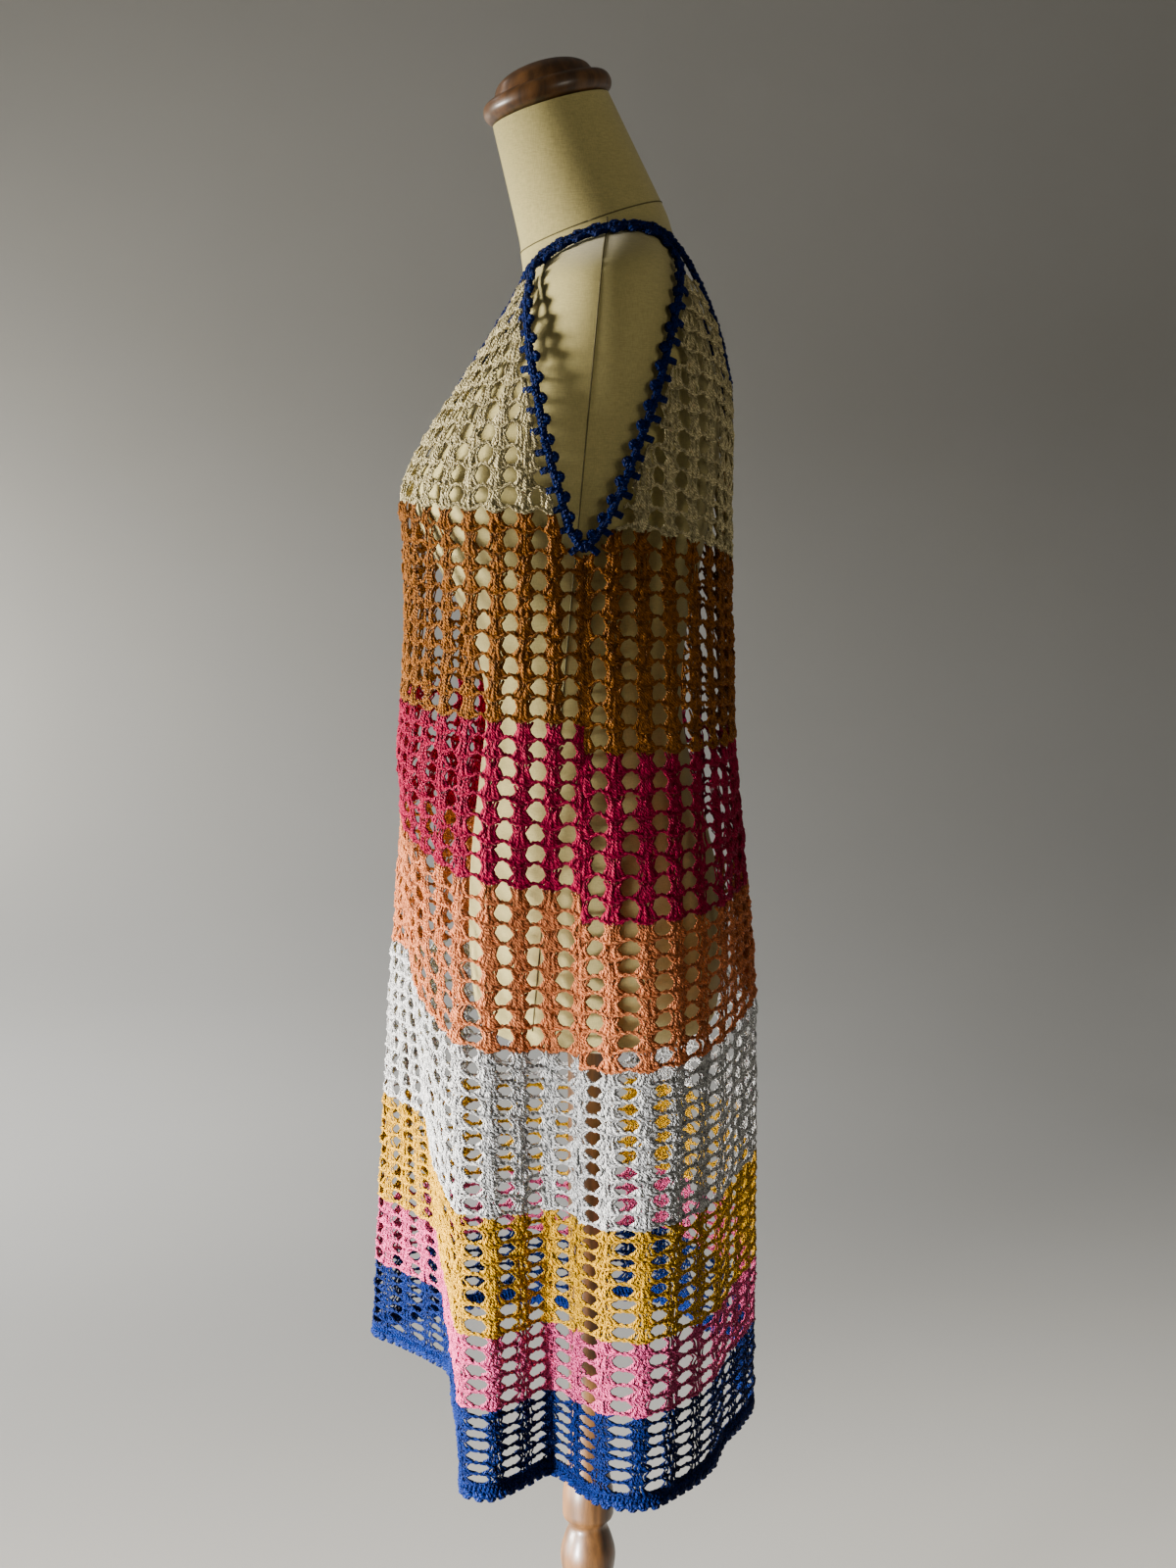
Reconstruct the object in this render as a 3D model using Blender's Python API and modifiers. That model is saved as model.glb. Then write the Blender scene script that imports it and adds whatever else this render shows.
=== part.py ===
"""Crochet mini dress on a limbless dress form. Metres, +Z up, front towards -Y."""

from collections import namedtuple
from math import atan2, cos, pi, radians, sin

import bmesh
import bpy
import numpy as np
from mathutils import Vector
from mathutils.bvhtree import BVHTree

NAME = "crochet_mini_dress_on_form"

# Columns of shells round the dress, with one on each whole number, and the gap kept where two pieces meet
FRONT_COLUMNS = 22
BACK_COLUMNS = 20
GIRTH_COLUMNS = FRONT_COLUMNS + BACK_COLUMNS
SEAM_GAP = 0.0003
SEAM_SHARE = 0.012

# Wall of the dress: plain inside, one soft rib for each column of shells outside
WALL = 0.0024
RIB = 0.0010
POINTS_PER_COLUMN = 2
COLOUR_ZIGZAG = 0.0030
LEAST_WALL_HEIGHT = 0.0050
STEEP_EDGE = 0.0150
STEEP_PASSES = 2

# How a wall's top is found below the edgings: the least clearance and the steps of the search
EDGE_CLEARANCE = 0.0010
SEARCH_START = 0.020
LEAST_RISE = 0.0004
MOST_RISE = 0.020
RISE_SHARE = 0.8

# Blue corded edging and picot hem
EDGING_HALF_WIDTH = 0.0042
EDGING_HALF_DEPTH = 0.0021
EDGING_FLAT_SHARE = 0.6
EDGING_PICOT = 0.0005
ARMHOLE_POINTS = 66
NECK_POINTS = 96
LINE_POINTS = 22
CORD_SHARES = 8
HEM_EDGING = 0.0090
HEM_PICOT = 0.0018
HEM_POINTS_PER_COLUMN = 4

# The skirt passes from its smooth upper plan to the folds of the hem between these heights
FOLD_START = 1.02
HEM_HEIGHT = 0.44
FOLD_GROWTH = 0.75
SIDE_SEAM_Y = -0.003

# How finely the surface is read: points in a half section and in a search, and steps taken for a direction
SECTION_SAMPLES = 241
SEARCH_SAMPLES = 60
STEP_COLUMNS = 0.15
STEP_HEIGHT = 0.004

# Plan of the dress at a few heights
Section = namedtuple("Section", "z front back half_width squareness")
DRESS_SECTIONS = (
    Section(0.430, -0.1740, 0.1500, 0.2080, 2.6),
    Section(0.590, -0.1760, 0.1470, 0.2020, 2.6),
    Section(0.690, -0.1770, 0.1450, 0.1980, 2.6),
    Section(0.820, -0.1760, 0.1420, 0.1900, 2.6),
    Section(0.920, -0.1710, 0.1320, 0.1810, 2.6),
    Section(1.000, -0.1650, 0.1265, 0.1720, 2.6),
    Section(1.080, -0.1580, 0.1235, 0.1640, 2.6),
    Section(1.200, -0.1550, 0.1205, 0.1560, 2.6),
    Section(1.245, -0.1565, 0.1200, 0.1585, 2.6),
    Section(1.282, -0.1395, 0.1195, 0.1630, 2.6),
    Section(1.330, -0.1080, 0.1180, 0.1690, 2.5),
    Section(1.378, -0.0760, 0.1080, 0.1730, 2.4),
    Section(1.415, -0.0540, 0.0930, 0.1700, 2.4),
    Section(1.450, -0.0420, 0.0740, 0.1550, 2.4),
)

# Folds of the hem: where each ridge and valley stands, by its column round the girth
Fold = namedtuple("Fold", "column x y")
HEM_FOLDS = (
    Fold(0.0, 0.186, -0.010),
    Fold(1.0, 0.163, -0.031),
    Fold(2.2, 0.190, -0.056),
    Fold(3.3, 0.212, -0.082),
    Fold(3.9, 0.206, -0.100),
    Fold(4.9, 0.176, -0.104),
    Fold(6.0, 0.140, -0.107),
    Fold(7.2, 0.105, -0.111),
    Fold(9.1, 0.045, -0.119),
    Fold(11.0, -0.015, -0.128),
    Fold(12.2, -0.045, -0.152),
    Fold(13.5, -0.075, -0.180),
    Fold(14.8, -0.106, -0.206),
    Fold(16.1, -0.136, -0.181),
    Fold(17.4, -0.158, -0.146),
    Fold(18.9, -0.183, -0.106),
    Fold(20.4, -0.196, -0.060),
    Fold(22.0, -0.180, -0.014),
    Fold(23.2, -0.204, 0.018),
    Fold(24.6, -0.208, 0.062),
    Fold(26.1, -0.174, 0.096),
    Fold(27.4, -0.138, 0.114),
    Fold(28.8, -0.104, 0.143),
    Fold(30.1, -0.060, 0.149),
    Fold(31.6, -0.015, 0.136),
    Fold(33.0, 0.030, 0.147),
    Fold(34.3, 0.070, 0.134),
    Fold(35.6, 0.107, 0.116),
    Fold(37.0, 0.150, 0.104),
    Fold(38.5, 0.192, 0.077),
    Fold(40.1, 0.221, 0.038),
    Fold(41.0, 0.212, 0.010),
)

# Lower edge of each colour: at the front centre, either side of the side seams, and at the back centre
Edge = namedtuple("Edge", "z_front z_front_side z_back_side z_back")
BAND_EDGES = {
    "ecru": Edge(1.241, 1.232, 1.220, 1.191),
    "tan": Edge(1.077, 1.0675, 1.044, 1.041),
    "magenta": Edge(0.974, 0.935, 0.911, 0.917),
    "peach": Edge(0.842, 0.803, 0.793, 0.812),
    "white": Edge(0.689, 0.671, 0.666, 0.675),
    "yellow": Edge(0.585, 0.572, 0.574, 0.576),
    "pink": Edge(0.521, 0.512, 0.512, 0.516),
    "blue": Edge(0.456, 0.446, 0.444, 0.444),
}
BAND_ROWS = {"ecru": 5, "tan": 4, "magenta": 3, "peach": 3, "white": 3, "yellow": 2, "pink": 2, "blue": 2}

# Armhole edge, side seam to strap: height, and columns from the side seam on the front and on the back
Armhole = namedtuple("Armhole", "z front_columns back_columns")
ARMHOLE = (
    Armhole(1.1995, 0.00, 0.00),
    Armhole(1.2125, 0.42, 0.45),
    Armhole(1.2400, 0.75, 1.10),
    Armhole(1.2850, 1.35, 1.85),
    Armhole(1.3240, 1.80, 2.45),
    Armhole(1.3620, 2.40, 3.00),
    Armhole(1.3900, 3.25, 3.60),
    Armhole(1.4070, 4.05, 4.15),
    Armhole(1.4230, 4.75, 4.75),
)

# V of the neck, lowest point to strap: height at the front and at the back for each distance from the centre,
# and the column from the side seam that it never reaches
NECK_OUTERMOST = 2.5
Neck = namedtuple("Neck", "x z_front z_back")
NECK = (
    Neck(0.000, 1.312, 1.276),
    Neck(0.010, 1.322, 1.287),
    Neck(0.030, 1.348, 1.320),
    Neck(0.050, 1.375, 1.358),
    Neck(0.066, 1.398, 1.395),
    Neck(0.0745, 1.4215, 1.4290),
)

# The two edgings lie side by side over the shoulder: their places on the form, front to back
Strap = namedtuple("Strap", "y x_neck x_armhole")
STRAPS = (
    Strap(-0.036, 0.0755, 0.0980),
    Strap(-0.016, 0.0780, 0.0905),
    Strap(0.012, 0.0790, 0.0890),
    Strap(0.040, 0.0782, 0.0892),
    Strap(0.066, 0.0755, 0.0950),
)
STRAP_POINTS = 13
STRAP_REST = 0.0015

# Torso of the form: each ring leans forward towards the neck
Ring = namedtuple("Ring", "z_front y_front z_back y_back half_width squareness")
TORSO = (
    Ring(0.790, -0.0780, 0.790, 0.0900, 0.1380, 2.3),
    Ring(0.793, -0.0930, 0.793, 0.1060, 0.1530, 2.3),
    Ring(0.805, -0.1000, 0.805, 0.1140, 0.1610, 2.3),
    Ring(0.860, -0.1040, 0.860, 0.1180, 0.1640, 2.3),
    Ring(0.930, -0.1020, 0.930, 0.1100, 0.1550, 2.3),
    Ring(1.000, -0.0940, 1.000, 0.0920, 0.1350, 2.3),
    Ring(1.065, -0.0880, 1.065, 0.0800, 0.1220, 2.3),
    Ring(1.130, -0.1020, 1.130, 0.0850, 0.1290, 2.3),
    Ring(1.195, -0.1340, 1.195, 0.0980, 0.1410, 2.4),
    Ring(1.245, -0.1480, 1.245, 0.1080, 0.1490, 2.5),
    Ring(1.285, -0.1270, 1.287, 0.1110, 0.1560, 2.4),
    Ring(1.328, -0.0980, 1.335, 0.1080, 0.1630, 2.3),
    Ring(1.365, -0.0740, 1.379, 0.0980, 0.1680, 2.2),
    Ring(1.392, -0.0600, 1.412, 0.0860, 0.1660, 2.2),
    Ring(1.406, -0.0560, 1.431, 0.0790, 0.1580, 2.2),
    Ring(1.416, -0.0545, 1.444, 0.0745, 0.1380, 2.2),
    Ring(1.424, -0.0545, 1.455, 0.0715, 0.1120, 2.1),
    Ring(1.431, -0.0550, 1.464, 0.0690, 0.0860, 2.0),
    Ring(1.438, -0.0560, 1.472, 0.0665, 0.0690, 2.0),
    Ring(1.452, -0.0575, 1.486, 0.0600, 0.0620, 2.0),
    Ring(1.485, -0.0650, 1.517, 0.0445, 0.0560, 2.0),
    Ring(1.544, -0.0790, 1.572, 0.0170, 0.0500, 2.0),
)
TORSO_POINTS = 44

# Turned wood: radius and height of each point of the outline, top to bottom
Turned = namedtuple("Turned", "radius z")
CAP_STEPS = 30
CAP_PROFILE = (
    Turned(0.0000, 0.0385),
    Turned(0.0150, 0.0375),
    Turned(0.0290, 0.0340),
    Turned(0.0390, 0.0275),
    Turned(0.0425, 0.0215),
    Turned(0.0440, 0.0195),
    Turned(0.0500, 0.0180),
    Turned(0.0540, 0.0140),
    Turned(0.0550, 0.0090),
    Turned(0.0535, 0.0040),
    Turned(0.0500, 0.0010),
    Turned(0.0460, 0.0000),
    Turned(0.0000, 0.0000),
)
POLE_STEPS = 20
FORM_BOTTOM = 0.790
BASE_HEIGHT = 0.032
POLE_PROFILE = (
    Turned(0.0000, FORM_BOTTOM - SEAM_GAP),
    Turned(0.0290, FORM_BOTTOM - SEAM_GAP),
    Turned(0.0290, 0.776),
    Turned(0.0210, 0.768),
    Turned(0.0180, 0.740),
    Turned(0.0175, 0.420),
    Turned(0.0190, 0.360),
    Turned(0.0235, 0.330),
    Turned(0.0235, 0.312),
    Turned(0.0175, 0.302),
    Turned(0.0215, 0.290),
    Turned(0.0255, 0.272),
    Turned(0.0225, 0.250),
    Turned(0.0170, 0.225),
    Turned(0.0160, 0.140),
    Turned(0.0200, 0.085),
    Turned(0.0330, 0.055),
    Turned(0.0380, 0.044),
    Turned(0.0380, BASE_HEIGHT + SEAM_GAP),
    Turned(0.0000, BASE_HEIGHT + SEAM_GAP),
)
BASE_STEPS = 40
BASE_PROFILE = (
    Turned(0.000, BASE_HEIGHT),
    Turned(0.120, BASE_HEIGHT),
    Turned(0.165, 0.0285),
    Turned(0.183, 0.0235),
    Turned(0.190, 0.0150),
    Turned(0.190, 0.0040),
    Turned(0.186, 0.0000),
    Turned(0.000, 0.0000),
)

# Colours and roughness of the materials
COLOURS = {
    "ecru": (0.68, 0.58, 0.38),
    "tan": (0.43, 0.19, 0.04),
    "magenta": (0.46, 0.007, 0.10),
    "peach": (0.83, 0.40, 0.22),
    "white": (0.83, 0.83, 0.86),
    "yellow": (0.86, 0.60, 0.08),
    "pink": (0.83, 0.26, 0.42),
    "blue": (0.017, 0.07, 0.26),
    "linen": (0.60, 0.54, 0.33),
    "wood": (0.22, 0.06, 0.012),
}
YARN_ROUGHNESS = 0.75
LINEN_ROUGHNESS = 0.9
WOOD_ROUGHNESS = 0.25

# Edges sharper than this angle stay sharp, and points closer than this become one
SHARP_ANGLE = 40.0
MERGE_DISTANCE = 0.00001


def clear_scene():
    for obj in list(bpy.data.objects):
        bpy.data.objects.remove(obj, do_unlink=True)


def make_collection():
    collection = bpy.data.collections.new(NAME)
    bpy.context.scene.collection.children.link(collection)
    return collection


def make_material(name, roughness):
    material = bpy.data.materials.new(name)
    material.use_nodes = True
    shader = material.node_tree.nodes["Principled BSDF"]
    shader.inputs["Base Color"].default_value = (*COLOURS[name], 1.0)
    shader.inputs["Roughness"].default_value = roughness
    shader.inputs["Metallic"].default_value = 0.0
    return material


def values(rows, name):
    return np.array([getattr(row, name) for row in rows])


def smooth_read(rows, key, name, at):
    """One column of a table at the key values given, on a smooth curve through the table's rows."""
    keys = values(rows, key)
    column = values(rows, name)
    slopes = np.gradient(column, keys)
    at = np.clip(at, keys[0], keys[-1])
    i = np.clip(np.searchsorted(keys, at) - 1, 0, len(keys) - 2)
    step = keys[i + 1] - keys[i]
    u = (at - keys[i]) / step
    start = column[i] * (1 + 2 * u) * (1 - u) ** 2 + slopes[i] * step * u * (1 - u) ** 2
    end = column[i + 1] * u * u * (3 - 2 * u) + slopes[i + 1] * step * u * u * (u - 1)
    return start + end


# The surface of the dress

def half_section(z, front):
    """Half a plan section, from one side seam over the front or back centre to the other, by length."""
    half_width = smooth_read(DRESS_SECTIONS, "z", "half_width", z)
    depth = smooth_read(DRESS_SECTIONS, "z", "front" if front else "back", z) - SIDE_SEAM_Y
    power = 2.0 / smooth_read(DRESS_SECTIONS, "z", "squareness", z)
    angle = np.linspace(0.0, pi, SECTION_SAMPLES)
    side = 1.0 if front else -1.0
    x = side * half_width * np.sign(np.cos(angle)) * np.abs(np.cos(angle)) ** power
    y = SIDE_SEAM_Y + depth * np.abs(np.sin(angle)) ** power
    length = np.concatenate(([0.0], np.cumsum(np.hypot(np.diff(x), np.diff(y)))))
    return x, y, length


def hem_place(column):
    """Plan place of a column at the hem, on a smooth closed curve through the folds."""
    last = HEM_FOLDS[-1]
    before = last._replace(column=last.column - GIRTH_COLUMNS)
    after = [fold._replace(column=fold.column + GIRTH_COLUMNS) for fold in HEM_FOLDS[:2]]
    rows = (before, *HEM_FOLDS, *after)
    column = column % GIRTH_COLUMNS
    return smooth_read(rows, "column", "x", column), smooth_read(rows, "column", "y", column)


def dress_point(column, z):
    """Middle of the dress wall at a column of the girth: 0 is the left side seam, then round the front."""
    column = column % GIRTH_COLUMNS
    front = column <= FRONT_COLUMNS
    share = column / FRONT_COLUMNS if front else (column - FRONT_COLUMNS) / BACK_COLUMNS
    x, y, length = half_section(z, front)
    at = share * length[-1]
    upper = np.array((np.interp(at, length, x), np.interp(at, length, y)))
    fold = min(max((FOLD_START - z) / (FOLD_START - HEM_HEIGHT), 0.0), 1.0) ** FOLD_GROWTH
    plan = upper * (1.0 - fold) + np.array(hem_place(column)) * fold
    return Vector((plan[0], plan[1], z))


def dress_normal(column, z):
    """Outward direction of the dress surface."""
    along = dress_point(column + STEP_COLUMNS, z) - dress_point(column - STEP_COLUMNS, z)
    up = dress_point(column, z + STEP_HEIGHT) - dress_point(column, z - STEP_HEIGHT)
    return up.cross(along).normalized()


def column_at(z, wanted, low, high):
    """The column between low and high that stands the wanted distance from the centre at height z."""
    columns = np.linspace(low, high, SEARCH_SAMPLES)
    places = np.array([dress_point(column, z).x for column in columns])
    order = np.argsort(places)
    return float(np.interp(wanted, places[order], columns[order]))


# Outlines of the armholes and the neck on the dress, as columns and heights

def armhole_line(front):
    """Left armhole edge on one panel, side seam to strap."""
    places = []
    for z in np.linspace(ARMHOLE[0].z, ARMHOLE[-1].z, LINE_POINTS):
        if front:
            column = smooth_read(ARMHOLE, "z", "front_columns", z)
        else:
            column = GIRTH_COLUMNS - smooth_read(ARMHOLE, "z", "back_columns", z)
        places.append((float(column), float(z)))
    return places


def neck_line(front):
    """Left half of the V neck on one panel, lowest point to strap."""
    widths = np.linspace(NECK[0].x, NECK[-1].x, LINE_POINTS)
    name = "z_front" if front else "z_back"
    centre = FRONT_COLUMNS / 2 if front else FRONT_COLUMNS + BACK_COLUMNS / 2
    outermost = NECK_OUTERMOST if front else GIRTH_COLUMNS - NECK_OUTERMOST
    places = [(centre, float(smooth_read(NECK, "x", name, 0.0)))]
    for x in widths[1:]:
        z = float(smooth_read(NECK, "x", name, x))
        places.append((column_at(z, x, outermost, centre), z))
    return places


# Walls of the dress

def band_edge(name, column):
    """Height of a colour's lower edge at a column, before its zigzag."""
    edge = BAND_EDGES[name]
    front = column <= FRONT_COLUMNS
    share = column / FRONT_COLUMNS if front else (column - FRONT_COLUMNS) / BACK_COLUMNS
    centre, side = (edge.z_front, edge.z_front_side) if front else (edge.z_back, edge.z_back_side)
    return side + (centre - side) * sin(pi * share) ** 2


def colour_zigzag(name, column):
    """The next colour reaches up at each column of shells, and hangs lower between them."""
    if name == "blue":
        return 0.0
    return COLOUR_ZIGZAG * (2.0 * abs(2.0 * (column % 1.0) - 1.0) - 1.0)


def wall_top(column, ceiling, outline):
    """How high a wall may rise at a column, from below the armholes, before it meets an edging."""
    clear = EDGING_HALF_WIDTH + EDGING_PICOT + EDGE_CLEARANCE
    z = ARMHOLE[0].z - SEARCH_START
    while z < ceiling:
        gap = np.linalg.norm(outline - np.array(dress_point(column, z)), axis=1).min()
        if gap < clear:
            return z
        z += max(LEAST_RISE, min((gap - clear) * RISE_SHARE, MOST_RISE))
    return ceiling


def wall_mesh(columns, spans, rows, rib):
    """A closed wall over rows of points up each column, with outer and inner faces and four edges."""
    mesh = bmesh.new()
    outer, inner = [], []
    for column, (bottom, top) in zip(columns, spans):
        raised = rib * abs(2.0 * (column % 1.0) - 1.0)
        outer_line, inner_line = [], []
        for row in range(rows):
            z = bottom + (top - bottom) * row / (rows - 1)
            point = dress_point(column, z)
            normal = dress_normal(column, z)
            outer_line.append(mesh.verts.new(point + normal * (WALL / 2 + raised)))
            inner_line.append(mesh.verts.new(point - normal * WALL / 2))
        outer.append(outer_line)
        inner.append(inner_line)
    last = len(columns) - 1
    for i in range(last):
        for j in range(rows - 1):
            mesh.faces.new((outer[i][j], outer[i][j + 1], outer[i + 1][j + 1], outer[i + 1][j]))
            mesh.faces.new((inner[i][j], inner[i + 1][j], inner[i + 1][j + 1], inner[i][j + 1]))
        mesh.faces.new((outer[i][0], outer[i + 1][0], inner[i + 1][0], inner[i][0]))
        mesh.faces.new((outer[i][-1], inner[i][-1], inner[i + 1][-1], outer[i + 1][-1]))
    for j in range(rows - 1):
        mesh.faces.new((outer[0][j], inner[0][j], inner[0][j + 1], outer[0][j + 1]))
        mesh.faces.new((outer[last][j], outer[last][j + 1], inner[last][j + 1], inner[last][j]))
    return mesh


def finish_object(mesh, name, material, collection, smooth):
    bmesh.ops.recalc_face_normals(mesh, faces=mesh.faces)
    data = bpy.data.meshes.new(name)
    mesh.to_mesh(data)
    mesh.free()
    if smooth:
        data.shade_smooth()
        data.set_sharp_from_angle(angle=radians(SHARP_ANGLE))
    obj = bpy.data.objects.new(name, data)
    obj.data.materials.append(material)
    collection.objects.link(obj)
    return obj


def panel_columns(front, points_per_column):
    """Columns of one panel's points, kept clear of the other panel at the side seams."""
    count = FRONT_COLUMNS if front else BACK_COLUMNS
    start = 0 if front else FRONT_COLUMNS
    columns = start + np.linspace(0.0, count, count * points_per_column + 1)
    columns[0] += SEAM_SHARE
    columns[-1] -= SEAM_SHARE
    return columns


def band_span(index, column, outline):
    """Lowest and highest point of one colour at a column."""
    names = list(BAND_EDGES)
    name = names[index]
    bottom = band_edge(name, column) + colour_zigzag(name, column) + SEAM_GAP / 2
    ceiling = ARMHOLE[-1].z + 2 * EDGING_HALF_WIDTH
    if index > 0:
        above = names[index - 1]
        ceiling = band_edge(above, column) + colour_zigzag(above, column) - SEAM_GAP / 2
    top = wall_top(column, ceiling, outline) if index < 2 else ceiling
    return bottom, top


def add_bands(front, outline, materials, collection):
    """The eight colours of one panel, top to bottom, with more columns where the edging cuts them steeply."""
    side = "front" if front else "back"
    for index, name in enumerate(BAND_EDGES):
        even_columns = panel_columns(front, POINTS_PER_COLUMN)
        spans = {column: band_span(index, column, outline) for column in even_columns}
        for _ in range(STEEP_PASSES if index < 2 else 0):
            columns = sorted(spans)
            for column, following in zip(columns, columns[1:]):
                if abs(spans[following][1] - spans[column][1]) > STEEP_EDGE:
                    middle = (column + following) / 2
                    spans[middle] = band_span(index, middle, outline)
        heights = {column: top - bottom for column, (bottom, top) in spans.items()}
        kept = [column for column in sorted(spans) if heights[column] > LEAST_WALL_HEIGHT]
        mesh = wall_mesh(kept, [spans[column] for column in kept], BAND_ROWS[name], RIB)
        finish_object(mesh, f"{side}_{name}", materials[name], collection, False)


def add_hem_edging(front, materials, collection):
    """Picot edge that closes the hem, with two picots to a column."""
    columns = panel_columns(front, HEM_POINTS_PER_COLUMN)
    spans = []
    for place, column in enumerate(columns):
        top = band_edge("blue", column) - SEAM_GAP / 2
        picot = HEM_PICOT if place % 2 else 0.0
        spans.append((top - HEM_EDGING - picot, top))
    side = "front" if front else "back"
    mesh = wall_mesh(columns, spans, 2, RIB / 2)
    finish_object(mesh, f"hem_edging_{side}", materials["blue"], collection, False)


# Cords round the neck and armholes

def strap_path(tree, name):
    """Places and directions of one edging where it lies on the form's shoulder, front to back."""
    path = []
    for y in np.linspace(STRAPS[0].y, STRAPS[-1].y, STRAP_POINTS):
        x = float(smooth_read(STRAPS, "y", name, y))
        hit, normal, _, _ = tree.ray_cast(Vector((x, y, 2.0)), Vector((0.0, 0.0, -1.0)))
        path.append((hit + normal * (EDGING_HALF_DEPTH + STRAP_REST), normal))
    return path


def left_neck_path(tree):
    """Half the neck edging, front V bottom over the left shoulder to back V bottom."""
    path = [(dress_point(c, z), dress_normal(c, z)) for c, z in neck_line(True)]
    path += strap_path(tree, "x_neck")
    path += [(dress_point(c, z), dress_normal(c, z)) for c, z in reversed(neck_line(False))]
    return path


def left_armhole_path(tree):
    """Whole left armhole edging, from the side seam up the front and down the back."""
    path = [(dress_point(c, z), dress_normal(c, z)) for c, z in armhole_line(True)]
    path += strap_path(tree, "x_armhole")
    back = [(dress_point(c, z), dress_normal(c, z)) for c, z in reversed(armhole_line(False))]
    return path + back[:-1]


def mirrored(path):
    """The same path on the wearer's other side, in the opposite order."""
    flip = Vector((-1.0, 1.0, 1.0))
    return [(point * flip, normal * flip) for point, normal in reversed(path)]


def even_loop(path, count):
    """A closed path re-spaced evenly, with its directions smoothed a little."""
    points = np.array([point for point, _ in path])
    normals = np.array([normal for _, normal in path])
    points = np.vstack((points, points[:1]))
    normals = np.vstack((normals, normals[:1]))
    length = np.concatenate(([0.0], np.cumsum(np.linalg.norm(np.diff(points, axis=0), axis=1))))
    at = np.linspace(0.0, length[-1], count, endpoint=False)
    even_points = np.column_stack([np.interp(at, length, points[:, k]) for k in range(3)])
    even_normals = np.column_stack([np.interp(at, length, normals[:, k]) for k in range(3)])
    for _ in range(2):
        even_normals = (np.roll(even_normals, 1, 0) + 2 * even_normals + np.roll(even_normals, -1, 0)) / 4
    return even_points, even_normals / np.linalg.norm(even_normals, axis=1)[:, None]


def fine_line(loop):
    """Points close together along the middle of a cord."""
    points = loop[0]
    following = np.roll(points, -1, 0)
    shares = np.arange(CORD_SHARES) / CORD_SHARES
    return np.vstack([points + (following - points) * share for share in shares])


def add_edging(name, loop, materials, collection):
    """A flat six-sided cord along a closed path, a little wider at each picot."""
    points, normals = loop
    count = len(points)
    along = np.roll(points, -1, 0) - np.roll(points, 1, 0)
    across = np.cross(along, normals)
    across /= np.linalg.norm(across, axis=1)[:, None]
    mesh = bmesh.new()
    rings = []
    for i in range(count):
        half = EDGING_HALF_WIDTH + (EDGING_PICOT if i % 2 else 0.0)
        flat = EDGING_HALF_WIDTH * EDGING_FLAT_SHARE
        corners = ((half, 0), (flat, 1), (-flat, 1), (-half, 0), (-flat, -1), (flat, -1))
        rings.append([
            mesh.verts.new(points[i] + across[i] * side + normals[i] * EDGING_HALF_DEPTH * lift)
            for side, lift in corners
        ])
    for i in range(count):
        ring, following = rings[i], rings[(i + 1) % count]
        for k in range(6):
            mesh.faces.new((ring[k], ring[(k + 1) % 6], following[(k + 1) % 6], following[k]))
    return finish_object(mesh, name, materials["blue"], collection, False)


# The dress form

def torso_ring(ring):
    """Points of one ring of the torso, counted from the wearer's left side over the front."""
    centre = Vector((0.0, (ring.y_front + ring.y_back) / 2, (ring.z_front + ring.z_back) / 2))
    to_front = Vector((0.0, ring.y_front, ring.z_front)) - centre
    power = 2.0 / ring.squareness
    points = []
    for k in range(TORSO_POINTS):
        angle = 2 * pi * k / TORSO_POINTS
        x = ring.half_width * abs(cos(angle)) ** power * (1 if cos(angle) >= 0 else -1)
        depth = abs(sin(angle)) ** power * (1 if sin(angle) >= 0 else -1)
        points.append(centre + Vector((x, 0.0, 0.0)) + to_front * depth)
    return points


def add_torso(material, collection):
    mesh = bmesh.new()
    rings = [[mesh.verts.new(point) for point in torso_ring(ring)] for ring in TORSO]
    for lower, upper in zip(rings, rings[1:]):
        for k in range(TORSO_POINTS):
            after = (k + 1) % TORSO_POINTS
            mesh.faces.new((lower[k], lower[after], upper[after], upper[k]))
    mesh.faces.new(rings[0])
    mesh.faces.new(rings[-1])
    return finish_object(mesh, "form_torso", material, collection, True)


def add_turned(name, profile, steps, material, collection):
    """A turned piece: its outline spun once round the upright axis."""
    mesh = bmesh.new()
    verts = [mesh.verts.new((point.radius, 0.0, point.z)) for point in profile]
    for upper, lower in zip(verts, verts[1:]):
        mesh.edges.new((upper, lower))
    data = bpy.data.meshes.new(name)
    mesh.to_mesh(data)
    mesh.free()
    data.materials.append(material)
    obj = bpy.data.objects.new(name, data)
    collection.objects.link(obj)
    screw = obj.modifiers.new("Turn", "SCREW")
    screw.steps = steps
    screw.render_steps = steps
    screw.use_merge_vertices = True
    screw.merge_threshold = MERGE_DISTANCE
    screw.use_smooth_shade = True
    return obj


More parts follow.
